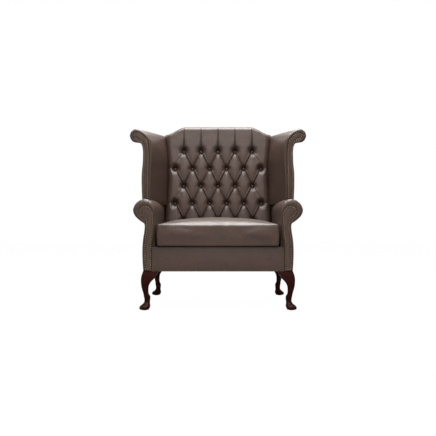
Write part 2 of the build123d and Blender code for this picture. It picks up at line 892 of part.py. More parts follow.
# Wings: leather skin, stuffing and facing panel
wing_facing_thickness = 4.0
wing_skin = wing_form(0, wing_setback, back_cover_rear)
wing_hollow = wing_form(leather, wing_setback + leather, back_cover_rear + leather)
wing_low_clear = block((0, 0, 0), (scroll_inner, rear_far, arm_board_top))
wing_cover = wing_skin - wing_hollow - arm_space - back_space - back_frame_space - wing_low_clear
wing_pad = wing_form(leather + cloth_gap, wing_front_wall, back_cover_rear + leather + cloth_gap)
wing_pad = wing_pad - arm_space - back_space - back_frame_space - wing_low_clear
wing_pad = wing_pad - wing_post_space - wing_rail_form(cloth_gap)
wing_facing = sheet_along_y(
    wing_front_wire(facing_margin, wing_setback - wing_facing_thickness), wing_facing_thickness
)
wing_facing = wing_facing - arm_space

handed_parts = {
    "arm_post": arm_post,
    "arm_board": arm_board,
    "arm_stuffing_rail": stuffing_rail,
    "side_seat_rail": side_rail,
    "back_post": back_post,
    "wing_post": wing_post,
    "wing_top_rail": wing_top_rail,
    "arm_pad": arm_pad,
    "arm_cover": arm_cover,
    "arm_facing": arm_facing,
    "wing_pad": wing_pad,
    "wing_cover": wing_cover,
    "wing_facing": wing_facing,
}
for name, shape in handed_parts.items():
    parts[name + "_right"] = shape
    parts[name + "_left"] = mirrored(shape)

# Dowels across the rail ends, with their holes
dowel_diameter = 10.0
dowel_length = 50.0
dowel_edge = 22.0


def dowel_holes(joint_x, places, slack):
    pieces = []
    for y, z in places:
        place = Pos(joint_x, y, z) * Rot(0, 90, 0)
        pieces.append(place * Cylinder(dowel_diameter / 2 + slack, dowel_length + 2 * slack))
    return pieces + [mirrored(piece) for piece in pieces]


rail_levels = (frame_bottom + dowel_edge, rail_top - dowel_edge)
front_dowel_y = (front_rail_front + arm_post_rear) / 2
rear_dowel_y = seat_depth - (frame_front_n + back_cover_rear) / 2
top_dowel_depth = (frame_front_n + back_cover_rear) / 2
top_dowel_rises = (top_rail_foot + dowel_edge, rise_at(post_top, 0) - dowel_edge)
low_dowel_rises = ((lower_rail_foot + lower_rail_top) / 2,)
back_dowels = [
    back_point(0, rise, top_dowel_depth)[1:] for rise in top_dowel_rises + low_dowel_rises
]
dowel_rows = [
    (front_rail_half, [(front_dowel_y, level) for level in rail_levels]),
    (back_post_inner, [(rear_dowel_y, level) for level in rail_levels] + back_dowels),
]
dowels = []
dowel_cuts = []
for joint_x, places in dowel_rows:
    dowels += dowel_holes(joint_x, places, 0)
    dowel_cuts += dowel_holes(joint_x, places, bolt_slack)
parts["frame_dowels"] = Compound(dowels)
doweled = {
    "front_seat_rail": front_seat_rail,
    "back_seat_rail": back_seat_rail,
    "back_top_rail": back_top_rail,
    "back_lower_rail": back_lower_rail,
}
for side in ("_right", "_left"):
    doweled["arm_post" + side] = parts["arm_post" + side]
    doweled["back_post" + side] = parts["back_post" + side]
for name, shape in doweled.items():
    parts[name] = shape.cut(*dowel_cuts)

# Corner blocks with a clearance hole for each leg bolt
front_block = block(
    (side_rail_inner - corner_block_size, front_rail_rear, frame_bottom),
    (side_rail_inner, front_rail_rear + corner_block_size, nut_seat),
)
back_rail_front = seat_depth - frame_front_n
rear_block = block(
    (side_rail_inner - corner_block_size, back_rail_front - corner_block_size, frame_bottom),
    (side_rail_inner, back_rail_front, nut_seat),
)
blocks = [front_block - at_front_right(bolt_hole), rear_block - at_rear_right(bolt_hole)]
parts["corner_blocks"] = Compound(blocks + [mirrored(piece) for piece in blocks])

# Zigzag seat springs held in folded clips on the front and rear rails
spring_count = 5
spring_gap = 125.0
spring_width = 46.0
spring_wire = 3.8
spring_turns = 20
clip_plate = 1.5
clip_width = 60.0
clip_depth = 18.0
clip_slack = 0.2
spring_low = rail_top + clip_plate
spring_high = spring_low + spring_wire
clip_top = spring_high + clip_slack + clip_plate
spring_front = front_rail_rear - clip_depth + clip_plate + clip_slack
spring_rear = back_rail_front + clip_depth - clip_plate - clip_slack


def spring_form():
    run = (spring_rear - spring_front - spring_wire) / spring_turns
    points = []
    for turn in range(spring_turns + 1):
        y = spring_front + spring_wire / 2 + run * turn
        side = spring_width / 2 if turn % 2 else -spring_width / 2
        points += [(-side, y), (side, y)]
    face = trace(Polyline(*points), line_width=spring_wire)
    return Pos(0, 0, spring_low) * extrude(face, spring_wire, dir=(0, 0, 1))


def clip_form():
    """Folded clip open towards +Y, its bend at y = 0."""
    height = clip_top - rail_top
    outer = block((-clip_width / 2, 0, 0), (clip_width / 2, clip_depth, height))
    slot = block(
        (-clip_width, clip_plate, clip_plate), (clip_width, clip_depth + overrun, height - clip_plate)
    )
    return Pos(0, 0, rail_top) * (outer - slot)


front_clip = Pos(0, front_rail_rear - clip_depth, 0) * clip_form()
rear_clip = Pos(0, back_rail_front + clip_depth, 0) * (Rot(0, 0, 180) * clip_form())
springs = []
clips = []
for index in range(spring_count):
    place = Pos((index - (spring_count - 1) / 2) * spring_gap, 0, 0)
    springs.append(place * spring_form())
    clips += [place * front_clip, place * rear_clip]
parts["seat_springs"] = Compound(springs)
parts["spring_clips"] = Compound(clips)

# Deck over the springs: hessian, foam and a cloth top, level with the front border
deck_rise = 129.0
deck_top = frame_bottom + deck_rise
hessian_thickness = 1.0
deck_cloth_thickness = 2.0
deck_half = arm_inner - cloth_gap
deck_front = border_front + border_depth + cloth_gap
hessian_low = clip_top + cloth_gap
hessian_top = hessian_low + hessian_thickness
cloth_low = deck_top - cloth_gap - deck_cloth_thickness


def deck_layer(low, high):
    sheet = block((-deck_half, deck_front, low), (deck_half, seat_depth - back_cover_rear, high))
    posts = [back_post_space, mirrored(back_post_space)]
    return sheet.cut(*posts)


parts["seat_hessian"] = deck_layer(hessian_low, hessian_top)
parts["seat_pad"] = deck_layer(hessian_top + cloth_gap, cloth_low - cloth_gap)
parts["deck_cloth"] = deck_layer(cloth_low, cloth_low + deck_cloth_thickness)

# Padded front border between the arms, bulged a little between its edges
border_bulge = 6.0
border_low = frame_bottom + cloth_gap
border_top = deck_top - cloth_gap
border_edge = border_front + border_bulge
border_rear = front_rail_front - cloth_gap


def border_form():
    middle = (border_low + border_top) / 2
    front = ThreePointArc((border_edge, border_low), (border_front, middle), (border_edge, border_top))
    rest = Polyline(
        (border_edge, border_top),
        (border_rear, border_top),
        (border_rear, border_low),
        (border_edge, border_low),
    )
    face = make_face([front.edge(), *rest.edges()])
    return Pos(-deck_half, 0, 0) * extrude(Plane.YZ * face, 2 * deck_half, dir=(1, 0, 0))


parts["front_border"] = border_form()

# Dust cover under the frame, cut out round the leg blocks
dust_thickness = 1.0
dust_inset = 12.0
notch_margin = 3.0
dust_top = frame_bottom - cloth_gap
dust_sheet = block(
    (-side_rail_outer, dust_inset, dust_top - dust_thickness),
    (side_rail_outer, seat_depth - dust_inset, dust_top),
)
notch = block(
    (-leg_block - notch_margin, -overrun, 0), (overrun, leg_block + notch_margin, leg_height)
)
parts["dust_cover"] = dust_sheet.cut(*at_four_corners(notch).solids())

# Loose seat cushion: boxed leather case with a crowned top and sides drawn in between its corners
cushion_side_gap = 6.4
cushion_taper = 9.6
cushion_front_half = scroll_inner - cushion_side_gap
cushion_rear_half = cushion_front_half - cushion_taper
cushion_waist = 3.0
cushion_edge_height = 116.0
cushion_front_crown = 6.0
cushion_crown = 32.0
cushion_rear_crown = 14.0
cushion_side_bulge = 5.0
cushion_corner = 15.0
cushion_setback = 124.0
cushion_rear = seat_depth - cushion_setback
cushion_front = border_front
cushion_low = deck_top
cushion_section_shares = [
    (0.0, 0.0),
    (0.14, 0.62),
    (0.45, 1.0),
    (0.78, 0.92),
    (1.0, 0.0),
]


def cushion_section(share, crown_share, inset):
    """Outline of the cushion across the seat, at a share of its depth."""
    length = cushion_rear - cushion_front
    y = cushion_front + inset + (length - 2 * inset) * share
    half = cushion_front_half + (cushion_rear_half - cushion_front_half) * share
    half = half - cushion_waist * crown_share - inset
    end_crown = cushion_front_crown + (cushion_rear_crown - cushion_front_crown) * share
    crown = end_crown + (cushion_crown - end_crown) * crown_share
    low = cushion_low + inset
    high = cushion_low + cushion_edge_height - inset
    corner = cushion_corner - inset
    side_middle = (low + corner + high) / 2
    corner_middle = corner * (1 - sqrt(1 / 2))
    bulge = half + cushion_side_bulge
    right = [
        Line((0, low), (half - corner, low)),
        ThreePointArc(
            (half - corner, low), (half - corner_middle, low + corner_middle), (half, low + corner)
        ),
        ThreePointArc((half, low + corner), (bulge, side_middle), (half, high)),
    ]
    edges = [line.edge() for line in right]
    edges += [edge.mirror(Plane.YZ) for edge in edges]
    edges.append(ThreePointArc((half, high), (0, high + crown), (-half, high)).edge())
    return Wire(edges).moved(Pos(0, y, 0) * Plane.XZ.location)


def cushion_form(inset):
    return Solid.make_loft([cushion_section(*shares, inset) for shares in cushion_section_shares])


cushion_outer = cushion_form(0)
parts["seat_cushion_cover"] = cushion_outer - cushion_form(leather)
parts["seat_cushion_core"] = cushion_form(leather + cloth_gap)

# Zip across the rear of the cushion, with a slider that runs along it
zip_length = 520.0
zip_tape_height = 32.0
zip_tape_thickness = 1.0
zip_chain_height = 5.0
zip_chain_thickness = 1.4
zip_level = cushion_low + cushion_edge_height / 2
zip_stop = 6.0
slider_width = 9.0
slider_height = 11.0
slider_depth = 3.2
slider_gap = 0.2
pull_width = 6.0
pull_length = 24.0
pull_thickness = 1.2
tape = block(
    (-zip_length / 2, cushion_rear, zip_level - zip_tape_height / 2),
    (zip_length / 2, cushion_rear + zip_tape_thickness, zip_level + zip_tape_height / 2),
)
chain_rear = cushion_rear + zip_tape_thickness + zip_chain_thickness
chain = block(
    (-zip_length / 2, cushion_rear, zip_level - zip_chain_height / 2),
    (zip_length / 2, chain_rear, zip_level + zip_chain_height / 2),
)
parts["cushion_zip"] = tape + chain
slider_front = cushion_rear + zip_tape_thickness + slider_gap
slider_x = -zip_length / 2 + zip_stop + slider_width / 2
slider_rear = slider_front + slider_depth
slider = block(
    (slider_x - slider_width / 2, slider_front, zip_level - slider_height / 2),
    (slider_x + slider_width / 2, slider_rear, zip_level + slider_height / 2),
)
slider = slider - block(
    (slider_x - slider_width, cushion_rear, zip_level - zip_chain_height / 2 - slider_gap),
    (slider_x + slider_width, chain_rear + slider_gap, zip_level + zip_chain_height / 2 + slider_gap),
)
pull = block(
    (slider_x - pull_width / 2, slider_rear - pull_thickness, zip_level - pull_length),
    (slider_x + pull_width / 2, slider_rear, zip_level - slider_height / 2),
)
parts["zip_slider"] = slider + pull

# Move the whole seat so that the origin is at the middle of its footprint, and write the pieces
whole = Compound(list(parts.values())).bounding_box()
to_origin = Pos(-(whole.min.X + whole.max.X) / 2, -(whole.min.Y + whole.max.Y) / 2, -whole.min.Z)
for name, piece in parts.items():
    solids = [solid.moved(to_origin) for solid in piece.solids()]
    export_step(Compound(solids) if len(solids) > 1 else solids[0], f"parts/{name}.step")
print(len(parts), "pieces,", whole.size)
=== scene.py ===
import json
from math import cos, exp, pi, radians, sin, sqrt

import bmesh
import bpy
from bpy.props import FloatProperty, FloatVectorProperty, IntProperty, PointerProperty
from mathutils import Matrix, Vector, noise


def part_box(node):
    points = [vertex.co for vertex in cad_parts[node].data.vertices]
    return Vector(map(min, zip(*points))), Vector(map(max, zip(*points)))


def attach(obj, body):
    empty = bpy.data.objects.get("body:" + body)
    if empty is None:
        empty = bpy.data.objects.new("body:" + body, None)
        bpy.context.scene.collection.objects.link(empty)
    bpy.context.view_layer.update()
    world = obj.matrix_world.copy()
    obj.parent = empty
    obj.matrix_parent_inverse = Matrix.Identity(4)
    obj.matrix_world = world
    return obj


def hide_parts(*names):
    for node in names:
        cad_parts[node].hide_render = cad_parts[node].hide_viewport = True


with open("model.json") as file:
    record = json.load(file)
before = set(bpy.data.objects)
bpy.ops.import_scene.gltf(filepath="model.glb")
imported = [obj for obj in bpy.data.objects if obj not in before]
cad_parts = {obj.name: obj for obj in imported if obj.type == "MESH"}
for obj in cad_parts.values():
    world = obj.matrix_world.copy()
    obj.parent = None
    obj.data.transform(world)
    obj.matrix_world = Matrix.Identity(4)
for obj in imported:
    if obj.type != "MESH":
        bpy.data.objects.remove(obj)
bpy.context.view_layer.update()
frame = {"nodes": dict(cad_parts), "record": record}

bl_info = {
    "name": "Wing Loveseat",
    "version": (1, 0, 0),
    "blender": (4, 5, 0),
    "location": "View3D > Sidebar > Loveseat",
    "description": "Dresses the frame of a buttoned leather wing loveseat",
    "category": "Object",
}

MM = 0.001
FRAME_BODY = "seat_frame"
CUSHION_BODY = "seat_cushion"
HEX_LEATHER = 0x42322A
# Colour of the painted shade on the leather: in creases, round the buttons, along the nail grooves and
# under the cushion
HEX_LEATHER_PAINTED_SHADE = 0x1E1511
HEX_MAHOGANY = 0x270803
HEX_BRASS = 0x9C8870
HEX_WHITE = 0xFFFFFF

# Heights and depths are in millimetres: depths count from the front of the arm facings.
front_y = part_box("arm_facing_right")[0][1]
knee_depth = 670.0
knee_height = 340.0
full_height = 1075.0
rake = radians(9.0)
# How far in front of the rear face the arms and wings end
rear_gap = 2.8


def place(x, depth, height):
    """Point of the seat from millimetres."""
    return Vector((x * MM, front_y + depth * MM, height * MM))


def back_place(x, rise, forward):
    """Point of the raked back: height along the rake and distance forward of its rear face."""
    return place(
        x,
        knee_depth + rise * sin(rake) - forward * cos(rake),
        knee_height + rise * cos(rake) + forward * sin(rake),
    )


def back_outward(forward):
    """Direction square to the raked back, towards its front with 1 and its rear with -1."""
    return (back_place(0, 0, forward) - back_place(0, 0, 0)).normalized()


def peak_rise(forward):
    """Height along the rake at which the back reaches its full height."""
    return (full_height - knee_height - forward * sin(rake)) / cos(rake)


def rear_depth(height):
    """Depth at which arms and wings end at a height: upright below the knee and raked above it."""
    above = max(height - knee_height, 0.0)
    return knee_depth + above * sin(rake) / cos(rake) - rear_gap / cos(rake)


def linear(code):
    """Linear colour with alpha of an sRGB hex value."""
    channels = [(code >> shift & 255) / 255 for shift in (16, 8, 0)]
    return tuple(c / 12.92 if c <= 0.04045 else ((c + 0.055) / 1.055) ** 2.4 for c in channels) + (1.0,)


def shaded(colour, factor):
    """The colour made darker or lighter by a factor, opaque."""
    return tuple(c * factor for c in colour[:3]) + (1.0,)


# Sizes and colours that a user would change


class LoveseatSizes(bpy.types.PropertyGroup):
    """Sizes of the upholstery, in metres"""

    button_gap: FloatProperty(
        name="Button gap", description="Distance between buttons in a row", default=0.108, unit="LENGTH"
    )
    row_gap: FloatProperty(
        name="Row gap", description="Distance between rows of buttons", default=0.111, unit="LENGTH"
    )
    button_width: FloatProperty(
        name="Button width", description="Width of a covered button", default=0.021, unit="LENGTH"
    )
    nail_pitch: FloatProperty(
        name="Nail pitch", description="Distance between nail heads", default=0.0118, unit="LENGTH"
    )
    nail_width: FloatProperty(
        name="Nail width", description="Width of a nail head", default=0.0080, unit="LENGTH"
    )
    cushion_crown: FloatProperty(
        name="Cushion crown", description="Rise of the cushion's middle", default=0.034, unit="LENGTH"
    )
    camera_distance: FloatProperty(
        name="Camera distance", description="From the camera to the facings", default=3.37, unit="LENGTH"
    )
    camera_height: FloatProperty(
        name="Camera height", description="Height of the level camera", default=0.4902, unit="LENGTH"
    )
    focal_length: FloatProperty(
        name="Focal length", description="Camera focal length", default=52.33, unit="CAMERA"
    )
    sim_frames: IntProperty(
        name="Settling frames", description="Steps for which the cushion is blown up", default=18, min=1
    )


class LoveseatColours(bpy.types.PropertyGroup):
    """Colours of the finishes and of the painted shade, linear"""

    leather: FloatVectorProperty(
        name="Leather", description="Dyed hide", default=linear(HEX_LEATHER), size=4, subtype="COLOR"
    )
    # Painted shade: this colour darkens the leather in creases, round the buttons, along the nail grooves
    # and under the cushion, where shade falls.
    leather_painted_shade: FloatVectorProperty(
        name="Leather in folds", description="Darker dye that gathers in folds",
        default=linear(HEX_LEATHER_PAINTED_SHADE), size=4, subtype="COLOR",
    )
    mahogany: FloatVectorProperty(
        name="Mahogany", description="Stain of the legs",
        default=linear(HEX_MAHOGANY), size=4, subtype="COLOR",
    )
    brass: FloatVectorProperty(
        name="Nail brass", description="Aged nail heads", default=linear(HEX_BRASS), size=4, subtype="COLOR"
    )


# Materials


def add(tree, kind, settings=None, **links):
    """New shader node with its settings, its inputs set to values or fed from other nodes."""
    node = tree.nodes.new("ShaderNode" + kind)
    for key, value in (settings or {}).items():
        setattr(node, key, value)
    for key, value in links.items():
        name = key.replace("_", " ")
        slot = node.inputs[name] if name in node.inputs else node.inputs[int(key[1:])]
        if isinstance(value, bpy.types.NodeSocket):
            tree.links.new(value, slot)
        else:
            slot.default_value = value
    return node


def finish(name, colour, roughness, metallic=0.0, **extras):
    """New material with one shader, and its node tree, shader and object coordinates."""
    material = bpy.data.materials.new(name)
    material.use_nodes = True
    tree = material.node_tree
    shader = tree.nodes["Principled BSDF"]
    shader.inputs["Base Color"].default_value = colour
    shader.inputs["Roughness"].default_value = roughness
    shader.inputs["Metallic"].default_value = metallic
    for key, value in extras.items():
        shader.inputs[key.replace("_", " ")].default_value = value
    coordinates = add(tree, "TexCoord").outputs["Object"]
    return material, tree, shader, coordinates


def ramp(tree, factor, low, high, low_colour, high_colour):
    """Colour that runs from one to the other while the factor rises from low to high."""
    node = add(tree, "ValToRGB", Fac=factor)
    node.color_ramp.elements[0].position = low
    node.color_ramp.elements[0].color = low_colour
    node.color_ramp.elements[1].position = high
    node.color_ramp.elements[1].color = high_colour
    return node.outputs["Color"]


def bump(tree, shader, height, distance, strength, before=None):
    """Relief for the shader, on top of an earlier one where there is one."""
    node = add(tree, "Bump", Height=height, Distance=distance, Strength=strength)
    if before is not None:
        tree.links.new(before, node.inputs["Normal"])
    tree.links.new(node.outputs["Normal"], shader.inputs["Normal"])
    return node.outputs["Normal"]


def per_metre(size):
    """Texture scale at which one cell is this many millimetres."""
    return 1.0 / (size * MM)


def leather_material():
    # Pigmented cowhide, drum dyed and milled: a soft satin shine over a pebbled grain. The real
    # grain is 1 mm across, which is too fine to show, so it is drawn at 2.4 mm.
    colours = bpy.context.scene.loveseat_colours
    material, tree, shader, spot = finish(
        "pigmented_cowhide", tuple(colours.leather), 0.42, Specular_IOR_Level=0.48
    )
    cloud = add(tree, "TexNoise", Vector=spot, Scale=per_metre(90), Detail=3.0)
    mottle = add(tree, "TexNoise", Vector=spot, Scale=per_metre(7), Detail=2.0)
    dark = shaded(colours.leather, 0.91)
    light = shaded(colours.leather, 1.10)
    base = ramp(tree, cloud.outputs["Fac"], 0.30, 0.72, dark, light)
    speck = ramp(tree, mottle.outputs["Fac"], 0.35, 0.65, (0.86, 0.86, 0.86, 1), (1.1, 1.1, 1.1, 1))
    mixed = add(tree, "Mix", {"data_type": "RGBA", "blend_type": "MULTIPLY"}, Factor=1.0)
    tree.links.new(base, mixed.inputs[6])
    tree.links.new(speck, mixed.inputs[7])
    # The fold attribute is painted shade: it mixes the leather towards the painted shade colour in creases,
    # round the buttons, along the nail grooves and under the cushion.
    fold = add(tree, "Attribute", {"attribute_name": "fold"})
    folded = add(tree, "Mix", {"data_type": "RGBA"}, Factor=fold.outputs["Fac"])
    tree.links.new(mixed.outputs[2], folded.inputs[6])
    folded.inputs[7].default_value = tuple(colours.leather_painted_shade)
    tree.links.new(folded.outputs[2], shader.inputs["Base Color"])
    grain = add(
        tree, "TexVoronoi", {"feature": "SMOOTH_F1"}, Vector=spot, Scale=per_metre(2.4), Smoothness=0.6
    )
    crumple = add(tree, "TexNoise", Vector=spot, Scale=per_metre(16), Detail=5.0)
    shine = add(tree, "MapRange", Value=crumple.outputs["Fac"], To_Min=0.34, To_Max=0.50)
    # Where the fold attribute paints shade, the leather is also made rougher and shines less.
    dull = add(tree, "Math", {"operation": "MULTIPLY"}, _0=fold.outputs["Fac"], _1=0.35)
    worn = add(tree, "Math", _0=shine.outputs["Result"], _1=dull.outputs[0])
    tree.links.new(worn.outputs[0], shader.inputs["Roughness"])
    first = bump(tree, shader, grain.outputs["Distance"], 0.4 * MM, 0.35)
    bump(tree, shader, crumple.outputs["Fac"], 1.2 * MM, 0.30, first)
    return material


def mahogany_material():
    # Hardwood stained dark red under a thin clear lacquer of soft shine: grain along the leg.
    colours = bpy.context.scene.loveseat_colours
    material, tree, shader, spot = finish(
        "lacquered_mahogany", tuple(colours.mahogany), 0.45,
        Specular_IOR_Level=0.08, Coat_Weight=0.07, Coat_Roughness=0.2,
    )
    along = add(tree, "Mapping", Vector=spot)
    along.inputs["Scale"].default_value = (1.0, 1.0, 0.08)
    pores = add(tree, "TexNoise", Vector=along.outputs["Vector"], Scale=per_metre(3.5), Detail=4.0)
    dark = shaded(colours.mahogany, 0.45)
    light = shaded(colours.mahogany, 1.5)
    tree.links.new(ramp(tree, pores.outputs["Fac"], 0.35, 0.70, dark, light), shader.inputs["Base Color"])
    bump(tree, shader, pores.outputs["Fac"], 0.15 * MM, 0.2)
    return material


def brass_material():
    # Nail heads pressed from brass and aged brown: paler where worn, darker between.
    colours = bpy.context.scene.loveseat_colours
    material, tree, shader, spot = finish("aged_brass", tuple(colours.brass), 0.38, 1.0)
    wear = add(tree, "TexNoise", Vector=spot, Scale=per_metre(6), Detail=2.0)
    dark = shaded(colours.brass, 0.7)
    aged = ramp(tree, wear.outputs["Fac"], 0.35, 0.60, dark, tuple(colours.brass))
    tree.links.new(aged, shader.inputs["Base Color"])
    return material


def cloth_material(name, code, thread):
    """Plain woven cloth, drawn with bands that lie 2 pi times this many millimetres apart."""
    material, tree, shader, spot = finish(name, linear(code), 0.9)
    # A wave texture turns by 20 radians a unit. Its bands, 9 to 25 mm apart here, are several times
    # coarser than the real weaves, whose threads are too fine to show.
    warp, weft = (
        add(tree, "TexWave", {"bands_direction": axis}, Vector=spot, Scale=per_metre(thread) / 20)
        for axis in "XY"
    )
    crossing = add(tree, "Math", {"operation": "MAXIMUM"}, _0=warp.outputs["Fac"], _1=weft.outputs["Fac"])
    woven = ramp(tree, crossing.outputs[0], 0.2, 0.9, shaded(linear(code), 0.6), linear(code))
    tree.links.new(woven, shader.inputs["Base Color"])
    bump(tree, shader, crossing.outputs[0], 0.3 * MM, 0.4)
    return material


def spotted_material(name, code, spot_size, roughness, metallic=0.0):
    """Plain finish with a fine mottle, for foam, timber, springs, bolts and moulded glides."""
    material, tree, shader, spot = finish(name, linear(code), roughness, metallic)
    fleck = add(tree, "TexNoise", Vector=spot, Scale=per_metre(spot_size), Detail=3.0)
    flecked = ramp(tree, fleck.outputs["Fac"], 0.35, 0.65, shaded(linear(code), 0.75), linear(code))
    tree.links.new(flecked, shader.inputs["Base Color"])
    bump(tree, shader, fleck.outputs["Fac"], 0.2 * MM, 0.25)
    return material


MAKERS = {
    "leather": leather_material,
    "mahogany": mahogany_material,
    # Beech, sawn and planed: pale, close and hardly shiny.
    "beech": lambda: spotted_material("planed_beech", 0xC9A878, 5.0, 0.6),
    # Polyurethane foam and polyester fibre: pale open cells.
    "foam": lambda: spotted_material("open_cell_foam", 0xE6DDC4, 2.0, 0.95),
    # Rubber and polypropylene webbing, woven in bands.
    "webbing": lambda: cloth_material("elastic_webbing", 0x6B5B45, 3.0),
    # Jute hessian: coarse plain weave.
    "hessian": lambda: cloth_material("jute_hessian", 0xA1824F, 3.0),
    # Cotton lining under the cushion, dyed brown.
    "deck_cloth": lambda: cloth_material("brown_lining_cotton", 0x33291F, 2.0),
    # Black spunbonded polypropylene under the seat, embossed with a grid.
    "dust_cloth": lambda: cloth_material("black_spunbond", 0x17171A, 4.0),
    # Oiled spring steel: dark and half bright.
    "spring_steel": lambda: spotted_material("oiled_spring_steel", 0x55555A, 8.0, 0.4, 1.0),
    # Zinc plated bolts: pale grey and half bright.
    "zinc_steel": lambda: spotted_material("zinc_plated_steel", 0xA8A8AD, 8.0, 0.35, 1.0),
    # Woven polyester tape of the zip.
    "zip_tape": lambda: cloth_material("woven_zip_tape", 0x261A15, 1.5),
    "zip_metal": brass_material,
    # Moulded nylon glides: black, slightly shiny.
    "glide_nylon": lambda: spotted_material("moulded_nylon", 0x1B1B1C, 3.0, 0.5),
}
made = {}


def finish_for(slot):
    """Material of a slot, made once."""
    if slot not in made:
        made[slot] = MAKERS[slot]()
    return made[slot]


# Mesh helpers


def piece_from(name, skin, slot, body=FRAME_BODY, sharp=50.0, folds=None):
    """Closed mesh piece, smooth up to an angle, that rides on a body."""
    mesh = bpy.data.meshes.new(name)
    points, faces = skin
    mesh.from_pydata([tuple(point) for point in points], [], faces)
    mesh.validate()
    mesh.update()
    work = bmesh.new()
    work.from_mesh(mesh)
    bmesh.ops.recalc_face_normals(work, faces=work.faces)
    work.to_mesh(mesh)
    work.free()
    if folds is not None:
        # The fold attribute holds the painted shade of the leather.
        layer = mesh.attributes.new("fold", "FLOAT", "POINT")
        layer.data.foreach_set("value", [held(value) for value in folds])
    mesh.shade_smooth()
    mesh.set_sharp_from_angle(angle=radians(sharp))
    mesh.materials.append(finish_for(slot))
    piece = bpy.data.objects.new(name, mesh)
    bpy.context.scene.collection.objects.link(piece)
    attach(piece, body)
    return piece


def band_faces(first, second):
    """Faces of the closed band between two rings of points."""
    count = len(first)
    return [
        (first[k], first[(k + 1) % count], second[(k + 1) % count], second[k]) for k in range(count)
    ]


def skin_between(loops, closed_ends=True):
    """Points and faces of a skin over closed loops of equal length, capped at both ends."""
    count = len(loops[0])
    points = [point for loop in loops for point in loop]
    rings = [range(start, start + count) for start in range(0, len(points), count)]
    faces = [face for pair in zip(rings, rings[1:]) for face in band_faces(*pair)]
    if closed_ends:
        faces += [tuple(reversed(rings[0])), tuple(rings[-1])]
    return points, faces


def grid_faces(width, height):
    """Faces of a grid of points that is this many points wide and high."""
    starts = [row * width + column for row in range(height - 1) for column in range(width - 1)]
    return [(k, k + 1, k + 1 + width, k + width) for k in starts]


def grid_rim(width, height):
    """Points round the edge of such a grid, in their order."""
    return [
        *range(width),
        *range(2 * width - 1, width * height, width),
        *range(width * height - 2, width * (height - 1) - 1, -1),
        *range(width * (height - 2), 0, -width),
    ]


def circle(centre, side, up, radius, count):
    """Points round a centre, in the plane of two directions."""
    turns = [2 * pi * k / count for k in range(count)]
    return [centre + (side * cos(turn) + up * sin(turn)) * radius for turn in turns]


def between(table, value):
    """Value of a table of rising places, straight between two of them."""
    for (low, start), (high, end) in zip(table, table[1:]):
        if value <= high:
            return start + (end - start) * (value - low) / (high - low)
    return table[-1][1]


def held(value, low=0.0, high=1.0):
    """The value, or the limit that it would pass."""
    return min(max(value, low), high)


def eased(share):
    """Share from 0 to 1 that starts and ends gently."""
    return share * share * (3 - 2 * share)


def hill(distance, width):
    """Height of a smooth hill: 1 in its middle, and nearly 0 at two widths from it."""
    return exp(-((distance / width) ** 2))


def curve_through(points, steps):
    """Points on a smooth curve through the given ones, with this many steps between two."""
    vectors = [Vector(point) for point in points]
    padded = [2 * vectors[0] - vectors[1], *vectors, 2 * vectors[-1] - vectors[-2]]
    path = []
    for before, start, end, after in zip(padded, padded[1:], padded[2:], padded[3:]):
        for step in range(steps):
            t = step / steps
            bend = 2 * before - 5 * start + 4 * end - after
            twist = 3 * start - before - 3 * end + after
            path.append(0.5 * (2 * start + (end - before) * t + bend * t**2 + twist * t**3))
    return [*path, vectors[-1]]


def open_outline(table, first):
    """Smooth outline through the points that the table holds from this column on."""
    return curve_through([(line[first], line[first + 1]) for line in table], STEPS)


def closed_outline(table, first):
    """The same, closed by a straight line."""
    path = open_outline(table, first)
    return path + [path[-1].lerp(path[0], (step + 1) / ACROSS) for step in range(ACROSS - 1)]


def inward(outline, distance):
    """The outline drawn in by a small distance; its points run anticlockwise."""
    drawn = []
    count = len(outline)
    for index, point in enumerate(outline):
        along = outline[(index + 1) % count] - outline[index - 1]
        normal = Vector((-along.y, along.x)).normalized()
        drawn.append(point + normal * distance)
    return drawn


def turn_sign(outline):
    """1 where the outline runs anticlockwise and -1 where it runs clockwise."""
    area = sum(a.x * b.y - b.x * a.y for a, b in zip(outline, outline[1:] + outline[:1]))
    return 1.0 if area > 0 else -1.0


def walk(points, pitch):
    """Equally spaced points along a path, about this far apart."""
    lengths = [(b - a).length for a, b in zip(points, points[1:])]
    total = sum(lengths)
    count = max(int(round(total / pitch)), 1)
    stops = []
    travelled = 0.0
    index = 0
    for stop in range(count + 1):
        target = total * stop / count
        while index < len(lengths) - 1 and travelled + lengths[index] < target:
            travelled += lengths[index]
            index += 1
        share = (target - travelled) / max(lengths[index], 1e-9)
        stops.append(points[index].lerp(points[index + 1], min(share, 1.0)))
    return stops


def welt_skin(path, radius, sides=8, closed=False):
    """Points and faces of a round cord along a path."""
    loops = []
    count = len(path)
    for index, point in enumerate(path):
        ahead = path[(index + 1) % count] if closed or index < count - 1 else path[index]
        behind = path[index - 1] if closed or index > 0 else path[index]
        along = (ahead - behind).normalized()
        side = along.cross(Vector((0, 0, 1)))
        if side.length < 0.2:
            side = along.cross(Vector((0, 1, 0)))
        side.normalize()
        up = side.cross(along)
        loops.append(circle(point, side, up, radius, sides))
    points, faces = skin_between(loops, closed_ends=not closed)
    if closed:
        faces += band_faces(range(len(points) - sides, len(points)), range(sides))
    return points, faces


def merged(skins):
    """Points and faces of several skins as one."""
    points, faces = [], []
    for more_points, more_faces in skins:
        shift = len(points)
        points += more_points
        faces += [tuple(index + shift for index in face) for face in more_faces]
    return points, faces


def dome_skin(centre, outward, radius, height, sides=10):
    """Low round head, such as a nail's, on its flat face."""
    outward = outward.normalized()
    side = outward.orthogonal().normalized()
    up = outward.cross(side)
    loops = []
    for share, lift in ((1.0, -0.35), (1.0, 0.0), (0.93, 0.38), (0.72, 0.74), (0.38, 0.95)):
        loops.append(circle(centre + outward * height * lift, side, up, radius * share, sides))
    return skin_between(loops)


def wobble(point, size, seed):
    """Smooth unevenness between -1 and 1 with bumps of this many millimetres."""
    return noise.noise(Vector(point) / (size * MM) + Vector((seed, 2.3 * seed, -seed)))


# Outlines, seen from the front: right half, in millimetres

